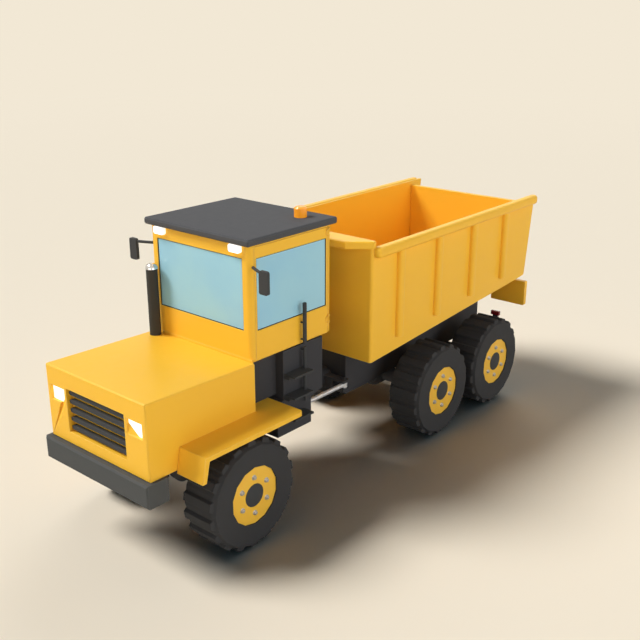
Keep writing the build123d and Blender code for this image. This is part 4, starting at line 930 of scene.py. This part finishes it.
@dataclass
class CabDress:
    """Glass, rubber seals, mirror glass, grip sleeve and finishes of the cab."""

    finishes: dict[str, Finish] = field(default_factory=lambda: {
        "cab_shell": PAINT_YELLOW, "cab_door": PAINT_YELLOW, "cab_roof": PAINT_ROOF,
        "cab_glass": GLASS_CAB, "door_glass": GLASS_CAB, "door_rail": PAINT_TRIM,
        "dashboard": PLASTIC_DASH, "mirrors": PAINT_TRIM, "beacon": LENS_AMBER,
        "exhaust_stack": PAINT_STACK, "exhaust_cap": STEEL_CHROME})
    seal_width: float = 0.010
    seal_depth: float = 0.010
    # The seal's section: inset and rise, in widths and depths of the seal.
    seal_section: tuple[tuple[float, float], ...] = (
        (0.0, 0.0), (0.0, 0.7), (-0.3, 1.0), (-0.7, 1.0), (-1.0, 0.5), (-1.0, 0.0))
    windscreen_half: float = 0.856
    rear_half: float = 0.760
    # One mirror head: depth, width and height.
    mirror_head: tuple[float, float, float] = (0.048, 0.154, 0.317)
    mirror_inset: float = 0.014
    mirror_skin: float = 0.0015
    mirror_edge: float = 0.0009
    sleeve_radius: float = 0.030
    sleeve_edge: float = 0.006
    sleeve_overlap: float = 0.004
    sleeve_sides: int = 24

    def build(self) -> None:
        """Builds the cab's trim and dresses its nodes."""
        dress(self.finishes)
        for window in self._windows():
            self._seal(window)
        self._mirror_glass()
        self._grip_sleeve()

    def _windows(self) -> list[Window]:
        """Reads the four panes' openings off the frame.

        Returns:
            The windows.
        """
        low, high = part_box("door_glass")
        glass_low, glass_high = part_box("cab_glass")
        middle, half = (low + high) / 2, (high - low) / 2
        ahead, left = Vector((1, 0, 0)), Vector((0, 1, 0))
        return [Window("windscreen", "front_unit", left, ahead,
                       Vector((glass_high.x, 0, middle.z)), self.windscreen_half, half.z),
                Window("rear_window", "front_unit", left, -ahead,
                       Vector((glass_low.x, 0, middle.z)), self.rear_half, half.z),
                Window("right_window", "front_unit", ahead, -left,
                       Vector((middle.x, glass_low.y, middle.z)), half.x, half.z),
                Window("door_window", "cab_door", ahead, left,
                       Vector((middle.x, high.y, middle.z)), half.x, half.z)]

    def _seal(self, window: Window) -> None:
        """A rubber frame round a pane, just inside its opening.

        Args:
            window: The pane's opening.
        """
        mesh = bmesh.new()
        up = Vector((0, 0, 1))
        rings = []
        for su, sv in ((1, 1), (-1, 1), (-1, -1), (1, -1)):
            ring = []
            for across, rise in self.seal_section:
                inset = across * self.seal_width
                point = (window.centre + window.along * su * (window.half_width + inset)
                         + up * sv * (window.half_height + inset)
                         + window.outward * rise * self.seal_depth)
                ring.append(mesh.verts.new(point))
            rings.append(ring)
        for here, there in zip(rings, rings[1:] + rings[:1]):
            for k in range(len(here)):
                m = (k + 1) % len(here)
                mesh.faces.new((here[k], here[m], there[m], there[k]))
        add_piece(f"seal_{window.name}", mesh, RUBBER_SEAL, window.body)

    def _mirror_glass(self) -> None:
        """Mirror glass on the rear face of both heads."""
        low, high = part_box("mirrors")
        depth, width, height = self.mirror_head
        face, skin, inset = high.x - depth, self.mirror_skin, self.mirror_inset
        for side in Side:
            outer = high.y * side.sign
            y0, y1 = sorted((outer, outer - side.sign * width))
            mesh = bmesh.new()
            rounded_box(mesh, Vector((face - skin, y0 + inset, low.z + inset)),
                        Vector((face + skin, y1 - inset, low.z + height - inset)),
                        self.mirror_edge, steps=1)
            add_piece(f"mirror_glass_{side.word}", mesh, MIRROR_FACE, "front_unit")

    def _grip_sleeve(self) -> None:
        """A moulded rubber sleeve over the door's grab rail."""
        low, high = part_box("door_rail")
        tube = (high.x - low.x) / 2
        foot = Vector((low.x + tube, high.y - tube, low.z - self.sleeve_overlap))
        length = high.z - low.z + 2 * self.sleeve_overlap
        inner, edge = self.sleeve_radius - self.sleeve_edge, self.sleeve_edge
        mesh = bmesh.new()
        lathe(mesh, [(inner, 0.0), (self.sleeve_radius, edge),
                     (self.sleeve_radius, length - edge), (inner, length)],
              foot, Vector((0, 0, 1)), self.sleeve_sides)
        add_piece("grip_sleeve", mesh, RUBBER_GRIP, "cab_door")


@dataclass
class SeatDress:
    """The driver's seat: pedestal, cushion and backrest with sewn channels."""

    height: float = 0.43
    # Room across a pad's thickness, and between cushion and backrest.
    pad_room: float = 0.13
    back_gap: float = 0.015
    back_fit: float = 0.985
    base_half: float = 0.19
    base_edge: float = 0.02
    base_steps: int = 3
    cushion_half: tuple[float, float, float] = (0.245, 0.235, 0.060)
    cuts: int = 28
    # How late the pad thins towards its edges, how fast, and what is left of it there.
    edge_power: int = 6
    crown_power: float = 0.25
    edge_thickness: float = 0.55
    channels: int = 4
    channel_depth: float = 0.010
    channel_width: float = 0.16
    channel_reach: float = 0.86
    # How far the sides pull in between the corners.
    pull: float = 0.035
    pull_power: int = 4
    smoothing: float = 0.5
    smooth_deg: float = 60.0

    def build(self) -> None:
        """Builds the seat, which replaces its plain node."""
        low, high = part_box("driver_seat")
        base_top = low.z + self.height - self.pad_room
        centre_x = low.x + self.pad_room + self.cushion_half[0] + self.back_gap
        pedestal = bmesh.new()
        rounded_box(pedestal, Vector((centre_x - self.base_half, -self.base_half, low.z)),
                    Vector((centre_x + self.base_half, self.base_half, base_top)),
                    self.base_edge, self.base_steps)
        base = add_piece("seat_pedestal", pedestal, PLASTIC_DASH, "front_unit")
        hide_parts("driver_seat")
        back_half = (high.z - base_top) / 2
        upright = Matrix(((0, 0, 1), (0, 1, 0), (-1, 0, 0)))
        cushion = self._pad("seat_cushion", Vector((centre_x, 0, base_top + self.pad_room / 2)),
                            Matrix.Identity(3), 1.0)
        backrest = self._pad("seat_backrest",
                             Vector((low.x + self.pad_room / 2, 0, base_top + back_half)),
                             upright, back_half / self.cushion_half[0] * self.back_fit)

    def _pad(self, name: str, centre: Vector, turn: Matrix, stretch: float) -> bpy.types.Object:
        """A crowned pad with channels sewn across it.

        Args:
            name: The piece's name.
            centre: The pad's middle.
            turn: Its rotation.
            stretch: Factor on its length.

        Returns:
            The pad.
        """
        half_x, half_y, half_z = self.cushion_half
        mesh = bmesh.new()
        bmesh.ops.create_cube(mesh, size=2.0)
        bmesh.ops.subdivide_edges(mesh, edges=mesh.edges, cuts=self.cuts, use_grid_fill=True)
        for vert in mesh.verts:
            x, y, z = vert.co
            inside = max((1 - abs(x) ** self.edge_power) * (1 - abs(y) ** self.edge_power), 0.0)
            full = self.edge_thickness + (1 - self.edge_thickness) * inside ** self.crown_power
            height = z * (half_z * full - self._stitch(x, y))
            pull = 1 - (self.pull * (1 - abs(z)) * (1 - abs(y) ** self.pull_power)
                        * (1 - abs(x) ** self.pull_power))
            spot = Vector((x * half_x * stretch * pull, y * half_y * pull, height))
            vert.co = turn @ spot + centre
        bmesh.ops.smooth_vert(mesh, verts=mesh.verts, factor=self.smoothing, use_axis_x=True,
                              use_axis_y=True, use_axis_z=True)
        return add_piece(name, mesh, VINYL_SEAT, "front_unit", self.smooth_deg)

    def _stitch(self, x: float, y: float) -> float:
        """How far the sewn channels draw the pad's face down.

        Args:
            x: Place along the pad, from -1 to 1.
            y: Place across the pad, from -1 to 1.

        Returns:
            The depth in metres.
        """
        if abs(y) >= self.channel_reach:
            return 0.0
        off_seam = math.sin(math.pi * self.channels * (x + 1) / 2) / self.channel_width
        return self.channel_depth * math.exp(-off_seam ** 2)


@dataclass(frozen=True)
class Lamp:
    """A distant soft lamp: its place, its light on a face turned to it, and its width in the sky.

    A fill lamp may be flagged off the floor, so that it softens the truck's sides and leaves the
    shadow alone.
    """

    name: str
    azimuth_deg: float
    elevation_deg: float
    level: float
    spread_deg: float
    lights_floor: bool = True


@dataclass
class Studio:
    """Pale floor, soft lamps, dim sky and the camera."""

    backdrop_colour: str = "#F2E8D5"
    floor_colour: str = "#F9ECD6"
    floor_roughness: float = 0.95
    floor_half: float = 400.0
    # Distances over which the floor passes into the backdrop's colour.
    fade_start: float = 12.0
    fade_end: float = 60.0
    lamps: tuple[Lamp, ...] = (
        Lamp("key_lamp", -51.0, 49.0, 0.99, 23.0),
        Lamp("back_left_fill", -150.0, 38.0, 0.20, 36.0),
        Lamp("back_right_fill", 165.0, 36.0, 0.05, 40.0),
        Lamp("side_fill", 95.0, 12.0, 0.50, 54.0, lights_floor=False),
        Lamp("front_fill", 14.0, 10.0, 0.22, 50.0, lights_floor=False))
    sky_colour: str = "#90C6F0"
    sky_level: float = 0.075
    # The camera's place in metres, where it looks from, and its lens over a square frame.
    eye: tuple[float, float, float] = (10.604, 9.068, 7.098)
    azimuth_deg: float = 40.61
    elevation_deg: float = 19.52
    focal_px: float = 903.5
    frame_px: float = 640.0
    sensor_mm: float = 36.0
    sight: float = 1000.0

    def build(self) -> None:
        """Builds the floor, the lights and the camera."""
        floor = self._floor()
        for lamp in self.lamps:
            self._sun(lamp, floor)
        self._sky()
        self._camera()
        bpy.context.scene.view_settings.view_transform = "Standard"

    def _floor(self) -> bpy.types.Object:
        """A wide matt floor that keeps the shadow and, far off, takes the backdrop's even colour.

        Returns:
            The floor.
        """
        mesh = bmesh.new()
        bmesh.ops.create_grid(mesh, x_segments=1, y_segments=1, size=self.floor_half)
        data = bpy.data.meshes.new("studio_floor")
        mesh.to_mesh(data)
        mesh.free()
        data.materials.append(self._paper())
        floor = bpy.data.objects.new("studio_floor", data)
        bpy.context.scene.collection.objects.link(floor)
        return floor

    def _paper(self) -> bpy.types.Material:
        """Matt studio paper, with an even haze over it far off.

        Returns:
            The material.
        """
        material = bpy.data.materials.new("matt_paper_floor")
        tree = cleared_tree(material)
        paper = add_node(tree, "ShaderNodeBsdfPrincipled", Base_Color=linear(self.floor_colour),
                         Roughness=self.floor_roughness, Specular_IOR_Level=0.0)
        haze = add_node(tree, "ShaderNodeEmission", Color=linear(self.backdrop_colour),
                        Strength=1.0)
        point = add_node(tree, "ShaderNodeTexCoord").outputs["Object"]
        distance = add_node(tree, "ShaderNodeVectorMath", {"operation": "LENGTH", 0: point})
        far = add_node(tree, "ShaderNodeMapRange", {"interpolation_type": "SMOOTHSTEP"},
                       Value=distance.outputs["Value"], From_Min=self.fade_start,
                       From_Max=self.fade_end).outputs["Result"]
        share = add_node(tree, "ShaderNodeMath", {"operation": "MULTIPLY", 0: far,
                                                  1: seen_rays(tree)})
        both = add_node(tree, "ShaderNodeMixShader", {0: share.outputs[0], 1: paper.outputs[0],
                                                      2: haze.outputs[0]})
        add_node(tree, "ShaderNodeOutputMaterial", Surface=both.outputs[0])
        return material

    def _sun(self, lamp: Lamp, floor: bpy.types.Object) -> None:
        """Hangs one lamp.

        Args:
            lamp: The lamp.
            floor: The floor, which a fill lamp may be flagged off.
        """
        data = bpy.data.lights.new(lamp.name, "SUN")
        data.energy = lamp.level * math.pi
        data.angle = math.radians(lamp.spread_deg)
        obj = bpy.data.objects.new(lamp.name, data)
        obj.rotation_mode = "QUATERNION"
        towards = direction(lamp.azimuth_deg, lamp.elevation_deg)
        obj.rotation_quaternion = towards.to_track_quat("Z", "Y")
        bpy.context.scene.collection.objects.link(obj)
        if not lamp.lights_floor:
            flagged = bpy.data.collections.new(f"{lamp.name}_flagged")
            flagged.objects.link(floor)
            flagged.collection_objects[0].light_linking.link_state = "EXCLUDE"
            obj.light_linking.receiver_collection = flagged

    def _sky(self) -> None:
        """A dim cool sky against the paint's warm bounce; camera and gloss see the backdrop."""
        world = bpy.data.worlds.new("studio_sky")
        bpy.context.scene.world = world
        tree = cleared_tree(world)
        dim = add_node(tree, "ShaderNodeBackground", Color=linear(self.sky_colour),
                       Strength=self.sky_level)
        full = add_node(tree, "ShaderNodeBackground", Color=linear(self.backdrop_colour),
                        Strength=1.0)
        both = add_node(tree, "ShaderNodeMixShader", {0: seen_rays(tree), 1: dim.outputs[0],
                                                      2: full.outputs[0]})
        add_node(tree, "ShaderNodeOutputWorld", Surface=both.outputs[0])

    def _camera(self) -> None:
        """The camera, level, from in front and to the left of the truck."""
        data = bpy.data.cameras.new("studio_camera")
        data.sensor_width = self.sensor_mm
        data.lens = self.focal_px / self.frame_px * self.sensor_mm
        data.clip_end = self.sight
        camera = bpy.data.objects.new("studio_camera", data)
        camera.location = self.eye
        look = -direction(self.azimuth_deg, self.elevation_deg)
        camera.rotation_mode = "QUATERNION"
        camera.rotation_quaternion = look.to_track_quat("-Z", "Y")
        bpy.context.scene.collection.objects.link(camera)
        bpy.context.scene.camera = camera


def main() -> None:
    """Builds the sub-assemblies in order."""
    logging.basicConfig(level=logging.INFO, format="%(name)s: %(message)s")
    for axle in Axle:
        for side in Side:
            WheelDress(axle, side).build()
    ChassisDress().build()
    BodyworkDress().build()
    CowlStrip().build()
    CabDress().build()
    SeatDress().build()
    Studio().build()


if __name__ == "__main__":
    main()
